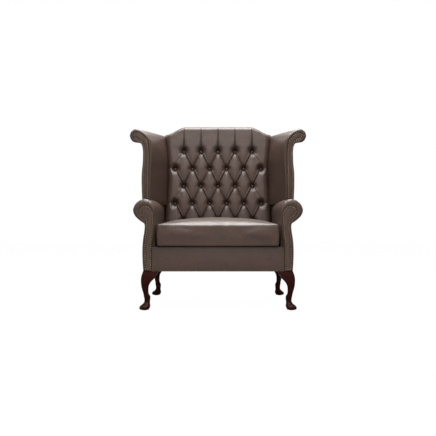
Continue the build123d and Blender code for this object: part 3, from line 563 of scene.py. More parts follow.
# Arm: silhouette x and height, then the edge of the nailed facing that lies inside it
ARM_OUTLINES = [
    (352, 208, 356.5, 208), (352, 250, 356.5, 250), (352, 300, 356.5, 300),
    (351.5, 340, 357, 340), (349.5, 366, 355.5, 366), (344, 392, 351, 393),
    (339.5, 424, 347.5, 428), (337, 458, 345.5, 458), (336, 497, 345.5, 490),
    (336, 530, 347, 518), (339.5, 551, 355, 536), (349, 568, 366, 548.5),
    (361, 580, 376, 553), (375, 588, 388, 554), (390, 591.5, 397.5, 552.5),
    (406, 589, 406, 549), (421, 583, 413, 542.5), (437, 570, 417.5, 535),
    (449, 552, 420, 526), (454, 533, 419.5, 517), (450, 514, 414.5, 508),
    (442, 500, 408.5, 499), (431, 488.5, 399, 491), (418, 477, 391, 483.5),
    (404, 467, 386.5, 476), (393.5, 458, 383.5, 462), (391.5, 440, 382.5, 443),
    (394.5, 412, 386, 412), (400, 378, 391, 380), (403.5, 338, 393, 340),
    (404, 291, 393, 291), (402.4, 250, 393, 250), (399.2, 208, 393, 208),
]
# Wing: silhouette, edge of the facing, and silhouette at the rear face of the back
WING_OUTLINES = [
    (388, 572, 402.5, 572, 303.4, 572), (387, 640, 402.5, 640, 303.4, 640),
    (385.6, 690, 402, 690, 303.3, 700), (383, 757, 401.5, 757, 303.2, 770),
    (380, 800, 401, 800, 303.1, 820), (378, 840, 400.6, 840, 303.4, 860),
    (378, 876, 400.6, 876, 306, 897), (380, 908, 403.6, 905, 310, 926),
    (384, 931, 406.5, 925, 314.5, 949), (390, 947, 412.5, 942, 318.5, 974),
    (399.5, 961, 422, 954.5, 320.5, 996), (410, 974, 432, 965, 323.5, 1010),
    (425, 986, 443, 975.5, 328.5, 1018.5), (439, 996, 455, 983, 338, 1022),
    (455, 1003, 465, 987, 350, 1023), (471, 1007, 474, 986.5, 362, 1023.5),
    (487, 1004.5, 481, 983, 374, 1021.5), (499, 997, 487, 976, 384, 1018.5),
    (508, 985, 490, 967, 391.5, 1013.5), (512, 969, 488, 957, 396.2, 1005),
    (509, 954, 481, 948.5, 398, 993), (500, 940, 470, 943.5, 398, 979),
    (488, 931, 460, 939.5, 397, 967), (472, 928.5, 452.5, 934.5, 393, 959.5),
    (457, 928, 446, 927.5, 388.5, 954), (447, 921, 440.5, 918, 385.5, 943),
    (440, 908, 436, 905, 384, 925), (436, 885, 431.5, 885, 383.7, 892),
    (435, 858, 430.5, 858, 383.6, 864), (437, 804, 432, 804, 384.3, 810),
    (442, 757, 436.5, 757, 385.2, 760), (443, 690, 438.5, 690, 386, 697),
    (440, 600, 436, 600, 385.3, 600), (439, 572, 435.5, 572, 384.6, 572),
]
# Steps between two points of an outline, and along the straight line that closes it
STEPS = 6
ACROSS = 8
# Sides of the seat: the way of x, and the name
SIDES = ((1, "right"), (-1, "left"))
# Fronts of the arms' and the wings' facings, and how far a facing stands off its board
ARM_FRONT = 0.0
WING_FRONT = 296.0
FACING_THICKNESS = 4.0
NAIL_INSET = 4.0
# Round of the leather from behind the facing's edge, over the front and onto the side: share of
# the way from the facing to the silhouette, and how far behind the facing's front it lies
ROLL = [
    (-0.10, 3.6), (0.02, 2.6), (0.08, 0.4),
    (0.20, -1.6), (0.38, -2.2), (0.56, -1.4),
    (0.72, 0.8), (0.85, 4.2), (0.94, 8.2),
    (0.99, 12.5), (1.0, 17.0),
]
# How deep a pleat bites at the front, over the edge and at the side, and where it has faded
PLEAT_FRONT, PLEAT_EDGE, PLEAT_SIDE, PLEAT_FADE = 2.6, 1.6, 2.4, 26.0
# Places of the radiating pleats, counted in points of the outlines
ARM_PLEATS = (12.2, 14.7, 16.4, 18.2, 20.2)
WING_PLEATS = (16.7, 18.3, 19.8)


def radiating(index, pleats):
    """Depth of the radiating pleats at a point of an outline, from 0 to 0.7."""
    spot = index / STEPS
    return max(0.7 * hill(spot - pleat, 0.13) for pleat in pleats)


def beside_cushion(point):
    """Distance from the middle of the arm's padded inner face, which stands up beside the cushion."""
    if point.x > 360 or not 330 < point.y < 460:
        return point.x
    return min(point.x, 336.5)


def scroll_loops(side, outlines, front, pleats, rows, puff, reach=None):
    """Loops of a padded scroll from its facing over the front edge to its rear end."""
    shape = closed_outline(outlines, 0)
    facing = closed_outline(outlines, 2)
    if len(outlines[0]) > 4:
        rear = closed_outline(outlines, 4)
    else:
        rear = [Vector((beside_cushion(point), point.y)) for point in shape]
    curved = len(outlines) * STEPS - STEPS + 1
    loops, folds = [], []
    for share, depth in ROLL:
        loop = []
        for index, (edge, outer) in enumerate(zip(facing, shape)):
            pleat = radiating(index, pleats) if index < curved else 0.0
            bite = pleat * held((share - 0.02) * 6)
            spread = outer - edge
            point = edge + spread * share - spread.normalized() * bite * PLEAT_EDGE * share
            loop.append(place(side * point.x, front + depth + bite * PLEAT_FRONT, point.y))
            # Painted shade in the pleats and in the tuck behind the facing's edge.
            folds.append(0.75 * bite + (0.5 if share < 0.05 else 0.0))
        loops.append(loop)
    start = front + ROLL[-1][1]
    for row in range(1, rows + 1):
        share = (row / rows) ** 1.5
        loop = []
        for index, (outer, last) in enumerate(zip(shape, rear)):
            end = rear_depth(outer.lerp(last, share).y)
            depth = start + (end - start) * share
            turned = share if reach is None else min((depth - start) / reach, 1.0)
            point = outer.lerp(last, eased(turned) if reach else turned)
            bite = radiating(index, pleats) * exp(-(depth - front) / PLEAT_FADE) if index < curved else 0.0
            away = (outer - facing[index]).normalized()
            point = point - away * bite * PLEAT_SIDE
            spot = place(side * point.x, depth, point.y)
            if 0 < index < curved - 1 and row < rows:
                lift = puff * sin(pi * share) + 0.9 * wobble(spot, 60, 4.0)
                spot += Vector((side * away.x, 0, away.y)) * lift * MM
            loop.append(spot)
            # Painted shade in the pleats.
            folds.append(0.5 * bite)
        loops.append(loop)
    return loops, folds


def end_rings(loop, folds, amount, push, count):
    """Rings that close a loop softly: drawn in towards its middle, and pushed out a little."""
    centre = sum(loop, Vector()) / len(loop)
    rings = []
    for step in range(1, count + 1):
        share = step / count
        ring = [point.lerp(centre, amount * share) + push * (1 - (1 - share) ** 2) for point in loop]
        rings.append(ring)
        folds += [0.0] * len(ring)
    return rings


def facing_skin(side, edge, front, puff):
    """Panel of leather over board: a rounded edge and a slightly padded face."""
    sign = turn_sign(edge)
    loops, folds = [], []
    # Distance in from the edge, depth behind the front, and painted shade: a groove holds the nails, and
    # the edge and groove are painted dark.
    for distance, depth, shade in (
        (0.0, FACING_THICKNESS, 1.0),
        (0.0, 0.9, 1.0),
        (0.35, 0.25, 1.0),
        (1.1, 0.0, 1.0),
        (4.0, 0.2, 1.0),
        (6.6, 0.0, 1.0),
        (8.6, -puff, 0.0),
    ):
        loops.append([place(side * p.x, front + depth, p.y) for p in inward(edge, distance * sign)])
        folds += [shade] * len(edge)
    return skin_between(loops), folds


def nail_skins(side, path, front):
    """Nail heads along a path on a facing."""
    sizes = bpy.context.scene.loveseat_sizes
    outward = Vector((0, -1, 0))
    stops = walk(path, sizes.nail_pitch / MM)
    return [
        dome_skin(place(side * p.x, front, p.y), outward, sizes.nail_width / 2, 3.0 * MM)
        for p in stops
    ]


# Operators: one for each piece or group of like pieces


class LOVESEAT_OT_stage(bpy.types.Operator):
    """Camera, lights, white floor and surroundings"""

    bl_idname = "loveseat.stage"
    bl_label = "Stage"

    def execute(self, context):
        scene = context.scene
        sizes = scene.loveseat_sizes
        view = bpy.data.cameras.new("view")
        view.sensor_width = 36.0
        view.lens = sizes.focal_length
        camera = bpy.data.objects.new("view", view)
        camera.location = (0.0, front_y - sizes.camera_distance, sizes.camera_height)
        camera.rotation_euler = (radians(90), 0, 0)
        scene.collection.objects.link(camera)
        scene.camera = camera
        self.add_lamp(scene, "overhead", (0.0, 0.4, 3.0), (0.0, 0.3, 0.6), 3.0, 190.0, 1.75)
        self.add_lamp(scene, "front", (0.0, -2.2, 3.3), (0.0, -0.2, 0.5), 1.8, 50.0)
        fill = self.add_lamp(scene, "fill", (0.0, -1.75, 0.28), (0.0, 0.0, 0.36), 0.5, 14.5, 1.4)
        # The fill stands for pale walls: it lifts the shade without a spot of its own in the gloss.
        fill.visible_glossy = fill.visible_camera = False
        for side in (-1, 1):
            # Two lamps behind the seat light its outside, and the front is in their shade.
            edge = self.add_lamp(scene, f"rear_{side}", (side * 2.3, 1.9, 1.2), (0, 0.3, 0.6), 1.4, 34.0)
            edge.visible_glossy = edge.visible_camera = False
        self.add_floor(scene)
        self.add_world(scene)
        scene.view_settings.view_transform = "Standard"
        return {"FINISHED"}

    def add_lamp(self, scene, name, spot, target, size, power, width=None):
        lamp = bpy.data.lights.new(name, "AREA")
        lamp.shape = "RECTANGLE"
        lamp.size = width or size
        lamp.size_y = size
        lamp.energy = power
        holder = bpy.data.objects.new(name, lamp)
        holder.location = spot
        aim = Vector(target) - Vector(spot)
        holder.rotation_euler = aim.to_track_quat("-Z", "Y").to_euler()
        scene.collection.objects.link(holder)
        return holder

    def add_floor(self, scene):
        mesh = bpy.data.meshes.new("floor")
        reach = 9.0
        corners = [(-reach, -reach, 0), (reach, -reach, 0), (reach, reach, 0), (-reach, reach, 0)]
        mesh.from_pydata(corners, [], [(0, 1, 2, 3)])
        floor = bpy.data.objects.new("floor", mesh)
        floor.location.z = -0.0005
        scene.collection.objects.link(floor)
        # White paper sweep: it shows as plain white and keeps a trace of the seat's shadow.
        material = bpy.data.materials.new("white_paper")
        material.use_nodes = True
        tree = material.node_tree
        tree.nodes.clear()
        paper = add(tree, "BsdfDiffuse", Color=(0.2, 0.2, 0.2, 1.0))
        glow = add(tree, "Emission", Color=linear(HEX_WHITE), Strength=1.12)
        path = add(tree, "LightPath")
        share = add(tree, "Math", {"operation": "MULTIPLY"}, _0=path.outputs["Is Camera Ray"], _1=0.88)
        mix = add(tree, "MixShader", Fac=share.outputs[0])
        tree.links.new(paper.outputs[0], mix.inputs[1])
        tree.links.new(glow.outputs[0], mix.inputs[2])
        output = add(tree, "OutputMaterial")
        tree.links.new(mix.outputs[0], output.inputs["Surface"])
        mesh.materials.append(material)

    def add_world(self, scene):
        """White to the camera, pale grey walls in the gloss, and dim ones to all that it lights."""
        world = bpy.data.worlds.new("studio")
        scene.world = world
        world.use_nodes = True
        tree = world.node_tree
        tree.nodes.clear()
        path = add(tree, "LightPath")
        camera, through = path.outputs["Is Camera Ray"], path.outputs["Is Transmission Ray"]
        seen = add(tree, "Math", {"operation": "MAXIMUM"}, _0=camera, _1=through)
        mirrored = add(tree, "MapRange", Value=path.outputs["Is Glossy Ray"], To_Min=0.25, To_Max=0.6)
        strength = add(tree, "MapRange", Value=seen.outputs[0], To_Min=mirrored.outputs[0], To_Max=1.0)
        light = add(tree, "Background", Color=linear(HEX_WHITE), Strength=strength.outputs["Result"])
        output = add(tree, "OutputWorld")
        tree.links.new(light.outputs[0], output.inputs["Surface"])


class LOVESEAT_OT_frame_finishes(bpy.types.Operator):
    """Gives each piece of the frame its own finish"""

    bl_idname = "loveseat.frame_finishes"
    bl_label = "Frame finishes"

    def execute(self, context):
        for entry in frame["record"]["subparts"]:
            node = frame["nodes"][entry["node"]]
            node.data.materials.clear()
            node.data.materials.append(finish_for(entry["material_slot"]))
        return {"FINISHED"}


class LOVESEAT_OT_inside_back(bpy.types.Operator):
    """Deep-buttoned inside back with its pleats and camel top"""

    bl_idname = "loveseat.inside_back"
    bl_label = "Inside back"

    crown = 120.0
    rim = 72.0
    low_row = 119.5
    roll = 27.0
    # The rolled top is nearly a bevel: 1 would round it, and 2 would make it straight.
    bevel = 1.7
    foot = 8.0
    rear = 3.0
    half_steps = 22
    # Height along the rake and half width of the back
    sides = [
        (8.0, 335.0), (124.5, 335.0), (235.5, 326.0), (346.5, 319.0), (457.5, 319.0), (630.0, 338.0),
        (760.0, 338.0),
    ]
    # Above the buttons the half width is taken at this height.
    wide = 640.0
    pocket_depth = 34.0
    pocket_floor = 10.5
    pocket_wall = 33.0
    # Distance from the middle and how far the camel top lies below its peak
    camel = [
        (0, 0), (120, 0), (205, 0), (219, 1.2), (235, 7), (249.5, 13.2), (263.5, 20.5),
        (275, 28), (288, 35), (304, 41.5), (320, 46.5), (334, 50.5), (350, 53),
    ]

    def execute(self, context):
        sizes = context.scene.loveseat_sizes
        self.gap = sizes.button_gap / MM
        self.row = sizes.row_gap / MM
        self.top_row = self.low_row + 4 * self.row
        self.top = peak_rise(self.rim)
        self.crest = [(p.x, p.y) for p in curve_through(self.camel, 5)]
        points, faces, folds = self.skin()
        piece = piece_from("inside_back", (points, faces), "leather", sharp=75.0, folds=folds)
        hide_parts("inside_back_cover", "back_foam")
        return {"FINISHED"}

    def top_rise(self, x):
        return self.top - between(self.crest, abs(x)) / cos(rake)

    def slope(self, distance, width):
        """How much of a fold's depth is left at a distance from it: none past the width."""
        share = held(distance / width)
        return 1 - sqrt(1 - (1 - share) ** 2)

    def fold_depth(self, share, soft):
        """Depth of a fold below the crown, between two buttons at 0 and 1."""
        ends = abs(2 * share - 1)
        if soft:
            return 3.0 + 21.0 * ends**5
        return 12.0 + 14.0 * ends**2.6

    def diamonds(self, ax, rise):
        """Cube of the depth below the crown among the buttons, painted shade along the folds, and their
        lips.
        """
        a = ax / self.gap
        b = (rise - self.low_row) / self.row
        lower = min(int(b), 3)
        spread = self.gap * cos(0.45)
        total, crease, lip = 0.0, 0.0, 0.0
        for lean in (0.5, -0.5):
            line = a + lean * b
            number = round(line)
            ends = [abs(number - lean * level) for level in (lower, lower + 1)]
            if any(end > (2.5 if (lower + k) % 2 else 2.0) + 0.01 for k, end in enumerate(ends)):
                continue
            soft = max(ends) > 2.4 and lean > 0 and lower % 2 == 1
            distance = abs(line - number) * spread
            share = b - lower
            total += (self.fold_depth(share, soft) * self.slope(distance, 44.0)) ** 3
            if not soft:
                # Painted shade along the line of the fold.
                crease = max(crease, 0.8 * hill(distance, 2.0))
                if line < number:
                    lip += self.lip(distance) * sin(pi * share) ** 0.8
            else:
                gather = sin(distance / 3.2 + 5 * share) * hill(distance, 15.0)
                lip += 1.3 * gather * sin(pi * share) ** 2
        return total, crease, lip

    def lip(self, distance):
        """Rolled lip of the leather that hangs over a fold."""
        return 1.9 * hill(distance - 7.5, 2.6) - 1.2 * hill(distance - 12.0, 2.2)

    def pocket(self, ax, rise):
        """Depth of the pocket round the nearest button, the creases that run from it, and painted shade
        round it.
        """
        b = (rise - self.low_row) / self.row
        nearest = held(round(b), 0, 4)
        limit = 2.5 if nearest % 2 else 2.0
        a = ax / self.gap
        column = round(a - 0.5) + 0.5 if nearest % 2 else round(a)
        column = min(column, limit)
        across, up = ax - column * self.gap, rise - self.low_row - nearest * self.row
        distance = sqrt(across**2 + up**2)
        if distance > 70:
            return 0.0, 0.0, 0.0
        turn = noise.noise(Vector((across, up, 0)) / (distance + 1) * 3.2 + Vector((nearest, column, 0)))
        crumple = 1.8 * turn * hill(distance - 18.0, 11.0)
        # The painted shade stands on the button like a flame, tallest in the top row.
        reach = 44.0 if nearest == 4 else 26.0
        above, below = max(up, 0.0), min(up, 0.0)
        flame = (across / (9.0 + 0.25 * above)) ** 2 + (below / 21.0) ** 2 + (above / reach) ** 2
        wall = self.pocket_wall - 13.0 * below / (distance + 1.0)
        deep = self.pocket_depth * self.slope(max(distance - self.pocket_floor, 0.0), wall)
        return deep, crumple, exp(-flame)

    def forward_at(self, x, rise):
        """Distance forward of the rear face, and the painted shade in the folds and round the buttons."""
        ax = abs(x)
        half = between(self.sides, rise)
        level = held(rise, self.low_row, self.top_row)
        total, crease, lip = self.diamonds(ax, level)
        pocket, pit, dark = self.pocket(ax, rise)
        share = 0.0
        if rise > self.top_row:
            # Above the top row the folds pass into upright ones, which fade towards the seam.
            above = rise - self.top_row
            share = min(above / 26.0, 1.0)
            column = min(round(ax / self.gap), 2)
            distance = abs(ax - column * self.gap)
            deep = 2.2 + 27.0 * exp(-above / 32.0)
            flute = deep * self.slope(distance, 12.0 + 30.0 * exp(-above / 34.0))
            if above > 60:
                lip_on = min((above - 60) / 30, 1.0)
                lip += lip_on * 0.7 * hill(distance - 5.0, 2.0)
            mix = eased(share)
            total = total * (1 - mix) + flute**3 * mix
            lip *= 1 - mix if above < 60 else 1
            # Painted shade along the upright folds.
            crease = max(crease * (1 - mix), hill(distance, 2.0) * (0.3 + 0.7 * mix))
        elif rise < self.low_row:
            # Below the lowest row the padding rounds down to the foot.
            below = (self.low_row - rise) / (self.low_row - self.foot)
            total += ((self.crown - self.rim) * (1 - sqrt(max(1 - below**2, 0)))) ** 3
            lip = 0.0
        side = (self.crown - self.rim) * self.slope(half - ax, 40.0)
        total += pocket**3 + side**3
        drop = total ** (1 / 3)
        for row in (1, 3):
            # A crease runs from each outer button of the two long rows to the rim.
            up = rise - self.low_row - row * self.row
            if ax > 2.5 * self.gap and abs(up) < 30:
                out = (ax - 2.5 * self.gap) / (half - 2.5 * self.gap)
                drop += (1 - 0.5 * out) * (2.6 * hill(up, 3.2) + 3.0 * hill(up, 13.0))
                # Painted shade along this crease.
                crease = max(crease, hill(up, 2.0) * (1 - 0.7 * out))
        return self.crown - drop + lip - pit, max(0.8 * crease, 0.85 * dark)

    def skin(self):
        """Front, rolled top and rear of the back, row by row from its foot."""
        step = self.gap / 2 / self.half_steps
        inner = int(round(2.5 * self.gap / step))
        outer = 22
        shares = [(k + 1) / outer for k in range(outer)]
        columns = (
            [("edge", -1, share) for share in reversed(shares)]
            + [("x", 0, index * step) for index in range(-inner, inner + 1)]
            + [("edge", 1, share) for share in shares]
        )
        rise_step = self.row / (2 * self.half_steps)
        lattice = int(round(4 * self.row / rise_step))
        levels = [("low", k / 14) for k in range(14, 0, -1)]
        levels += [("rise", self.low_row + k * rise_step) for k in range(lattice + 1)]
        levels += [("high", k / 18) for k in range(1, 19)]
        levels += [("roll", radians(angle)) for angle in (*range(8, 91, 8), 90)]
        levels += [("top", k / 8) for k in range(1, 9)]
        edge_x = 2.5 * self.gap
        points, folds = [], []
        for kind, share in levels:
            rise = share if kind == "rise" else self.low_row - (self.low_row - self.foot) * share
            half = between(self.sides, rise if kind in ("low", "rise") else self.wide)
            for column in columns:
                x = column[2] if column[0] == "x" else column[1] * (edge_x + (half - edge_x) * column[2])
                seam = self.top_rise(x) - self.roll
                if kind == "high":
                    rise = self.top_row + (seam - self.top_row) * share
                if kind in ("low", "rise", "high"):
                    forward, fold = self.forward_at(x, rise)
                else:
                    body, fold = self.forward_at(x, seam)
                    angle = share if kind == "roll" else radians(90)
                    notch = 1.0 - min(max(self.crown - body, 0) / 60.0, 0.06)
                    rise = seam + self.roll * sin(angle) ** self.bevel * notch
                    forward = self.rim + (body - self.rim) * max(cos(angle), 0.0) ** self.bevel
                    if kind == "top":
                        forward = self.rim + (self.rear - self.rim) * share
                        # The painted shade fades out across the top.
                        fold *= 1 - share
                forward += 0.7 * wobble(back_place(x, rise, forward), 45, 7.0)
                points.append(back_place(x, rise, forward))
                folds.append(fold)
        width = len(columns)
        faces = []
        for corners in grid_faces(width, len(levels)):
            row, index = divmod(corners[0], width)
            faces += self.split(corners, columns[index], levels[row])
        return self.close(points, faces, folds, grid_rim(width, len(levels)))

    def split(self, corners, column, level):
        """Two triangles whose shared side runs along the nearest fold."""
        if column[0] != "x" or level[0] != "rise":
            return [corners]
        a = (column[2] + 1.0) / self.gap
        b = (level[1] + 1.0 - self.low_row) / self.row
        p, q = a + b / 2, a - b / 2
        if abs(p - round(p)) < abs(q - round(q)):
            return [(corners[0], corners[1], corners[3]), (corners[1], corners[2], corners[3])]
        return [(corners[0], corners[1], corners[2]), (corners[0], corners[2], corners[3])]

    def close(self, points, faces, folds, rim):
        """Skirt from the rim of the front to the frame behind it, and the rear face."""
        knee, normal = back_place(0, 0, 0), back_outward(1)
        ring = range(len(points), len(points) + len(rim))
        for index in rim:
            away = (points[index] - knee).dot(normal)
            points.append(points[index] - normal * max(away - self.rear * MM, 0.0))
            folds.append(0.0)
        faces += band_faces(rim, ring)
        faces.append(tuple(ring))
        return points, faces, folds


class LOVESEAT_OT_back_buttons(bpy.types.Operator):
    """Covered buttons in the dimples of the back"""

    bl_idname = "loveseat.back_buttons"
    bl_label = "Back buttons"

    # Distance of the buttons forward of the rear face of the back
    forward = 83.5
    sides = 20
    # Shares of the radius out from the middle and up, and the painted shade, from the base to the top
    profile = (
        (0.80, 0.0, 1.0),
        (0.97, 0.14, 1.0),
        (1.0, 0.30, 1.0),
        (0.96, 0.46, 0.9),
        (0.82, 0.62, 0.7),
        (0.58, 0.74, 0.4),
        (0.28, 0.80, 0.0),
    )

    def execute(self, context):
        sizes = context.scene.loveseat_sizes
        gap, row_gap = sizes.button_gap / MM, sizes.row_gap / MM
        radius = sizes.button_width / 2
        skins = []
        outward = back_outward(1)
        for row in range(5):
            count = 5 + row % 2
            for index in range(count):
                x = (index - (count - 1) / 2) * gap
                centre = back_place(x, LOVESEAT_OT_inside_back.low_row + row * row_gap, self.forward)
                skins.append(self.button(centre, outward, radius))
        folds = [shade for _ in skins for *_, shade in self.profile for _ in range(self.sides)]
        piece = piece_from("covered_buttons", merged(skins), "leather", sharp=60.0, folds=folds)
        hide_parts("back_buttons")
        return {"FINISHED"}

    def button(self, centre, outward, radius):
        side = outward.orthogonal().normalized()
        up = outward.cross(side)
        loops = [
            circle(centre + outward * radius * lift, side, up, radius * share, self.sides)
            for share, lift, _ in self.profile
        ]
        return skin_between(loops)


def scroll_piece(name, *shape):
    """Leather piece of a padded scroll, closed softly at its rear end."""
    loops, folds = scroll_loops(*shape)
    loops += end_rings(loops[-1], folds, 0.35, Vector((0, 1, 0)) * 1.5 * MM, 4)
    return piece_from(name, skin_between(loops), "leather", sharp=70.0, folds=folds)


class LOVESEAT_OT_arms(bpy.types.Operator):
    """Rolled arms with pleated front edges"""

    bl_idname = "loveseat.arms"
    bl_label = "Arms"

    def execute(self, context):
        for side, name in SIDES:
            shape = (side, ARM_OUTLINES, ARM_FRONT, ARM_PLEATS, 34, 2.0, 16.0)
            piece = scroll_piece(f"rolled_arm_{name}", *shape)
            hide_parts(f"arm_cover_{name}", f"arm_pad_{name}")
        return {"FINISHED"}


class LOVESEAT_OT_wings(bpy.types.Operator):
    """Scrolled wings between the arms and the back"""

    bl_idname = "loveseat.wings"
    bl_label = "Wings"

    def execute(self, context):
        for side, name in SIDES:
            shape = (side, WING_OUTLINES, WING_FRONT, WING_PLEATS, 26, 3.0)
            piece = scroll_piece(f"scroll_wing_{name}", *shape)
            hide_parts(f"wing_cover_{name}", f"wing_pad_{name}")
        return {"FINISHED"}


class LOVESEAT_OT_facings(bpy.types.Operator):
    """Nailed facings of the arms and wings, and their nail heads"""

    bl_idname = "loveseat.facings"
    bl_label = "Facings and nails"

    # Heights of the lowest nails: of the wing, above the arm, and of the arm
    arm_top = 588.0
    low_nail = 212.5

    def execute(self, context):
        for side, name in SIDES:
            skins = []
            kinds = (("arm", ARM_OUTLINES, ARM_FRONT), ("wing", WING_OUTLINES, WING_FRONT))
            for kind, outlines, front in kinds:
                edge = closed_outline(outlines, 2)
                skin, folds = facing_skin(side, edge, front, 0.8)
                panel = f"{kind}_facing_panel_{name}"
                piece = piece_from(panel, skin, "leather", sharp=60.0, folds=folds)
                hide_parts(f"{kind}_facing_{name}")
                curve = open_outline(outlines, 2)
                sign = turn_sign(curve)
                path = inward(curve, NAIL_INSET * sign)[1:-1]
                if kind == "wing":
                    path = [p for p in path if p.y > self.arm_top]
                else:
                    path = [Vector((p.x, max(p.y, self.low_nail))) for p in path]
                    path.append(Vector((path[0].x, self.low_nail)))
                skins += nail_skins(side, path, front - 0.2)
            piece_from(f"nail_heads_{name}", merged(skins), "zip_metal", sharp=70.0)
        return {"FINISHED"}


class LOVESEAT_OT_border(bpy.types.Operator):
    """Padded front border and the deck under the cushion"""

    bl_idname = "loveseat.border"
    bl_label = "Front border and deck"

    half = 352.2

    def execute(self, context):
        loops, folds = [], []
        columns = 90
        # Depth, height and how free the leather is to move, from the lower edge up
        section = [(13.6, 208.4, 0), (6.5, 207.6, 0), (4.4, 209.2, 0)]
        for share in (k / 22 for k in range(1, 22)):
            full = sin(pi * share)
            section.append((6.0 - 5.6 * full**0.55 + 5.0 * share**2, 210.0 + 122.0 * share, full))
        section += [(11.6, 334.6, 0), (13.0, 336.4, 0), (13.8, 336.6, 0)]
        for column in range(columns + 1):
            x = -self.half + 2 * self.half * column / columns
            loop = []
            for depth, height, free in section:
                spot = place(x, depth, height)
                pull = 2.0 * exp(-((self.half - abs(x)) / 14.0)) * free
                uneven = 0.9 * wobble(spot, 55, 3.0) + 0.35 * wobble(spot, 17, 5.0)
                loop.append(place(x, depth + pull - uneven * free, height))
                # Painted shadow of the cushion over the border's top, fading downward over about 22 mm.
                folds.append(0.85 * exp(-max(334.0 - height, 0.0) / 22.0))
            loops.append(loop)
        border = piece_from("padded_border", skin_between(loops), "leather", sharp=60.0, folds=folds)
        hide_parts("front_border")
        path = [place(-self.half + 2 * self.half * k / 60, 4.6, 207.4) for k in range(61)]
        piece_from("border_welt", welt_skin(path, 2.1 * MM), "leather")
        self.add_deck()
        return {"FINISHED"}

    def add_deck(self):
        low, high = (Vector(corner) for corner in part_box("deck_cloth"))
        middle, half = (low + high) / 2, (high - low) / 2
        rows, columns = 24, 26
        # The deck is cut round the back posts at its rear corners, from these shares outward.
        cut_a, cut_b = 0.88, 0.86
        loops = []
        for row in range(rows + 1):
            b = 2 * row / rows - 1
            upper, lower = [], []
            for column in range(columns + 1):
                a = 2 * column / columns - 1
                x = middle.x + a * half.x
                y = middle.y + (cut_b if b > cut_b and abs(a) > cut_a else b) * half.y
                sag = (1 - a * a) * (1 - b * b)
                upper.append(Vector((x, y, high.z - (1.2 - sag) * MM)))
                lower.append(Vector((x, y, low.z - 1.0 * MM)))
            loops.append(upper + list(reversed(lower)))
        deck = piece_from("lined_deck", skin_between(loops), "deck_cloth", sharp=60.0)
        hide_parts("deck_cloth", "seat_pad", "seat_hessian")


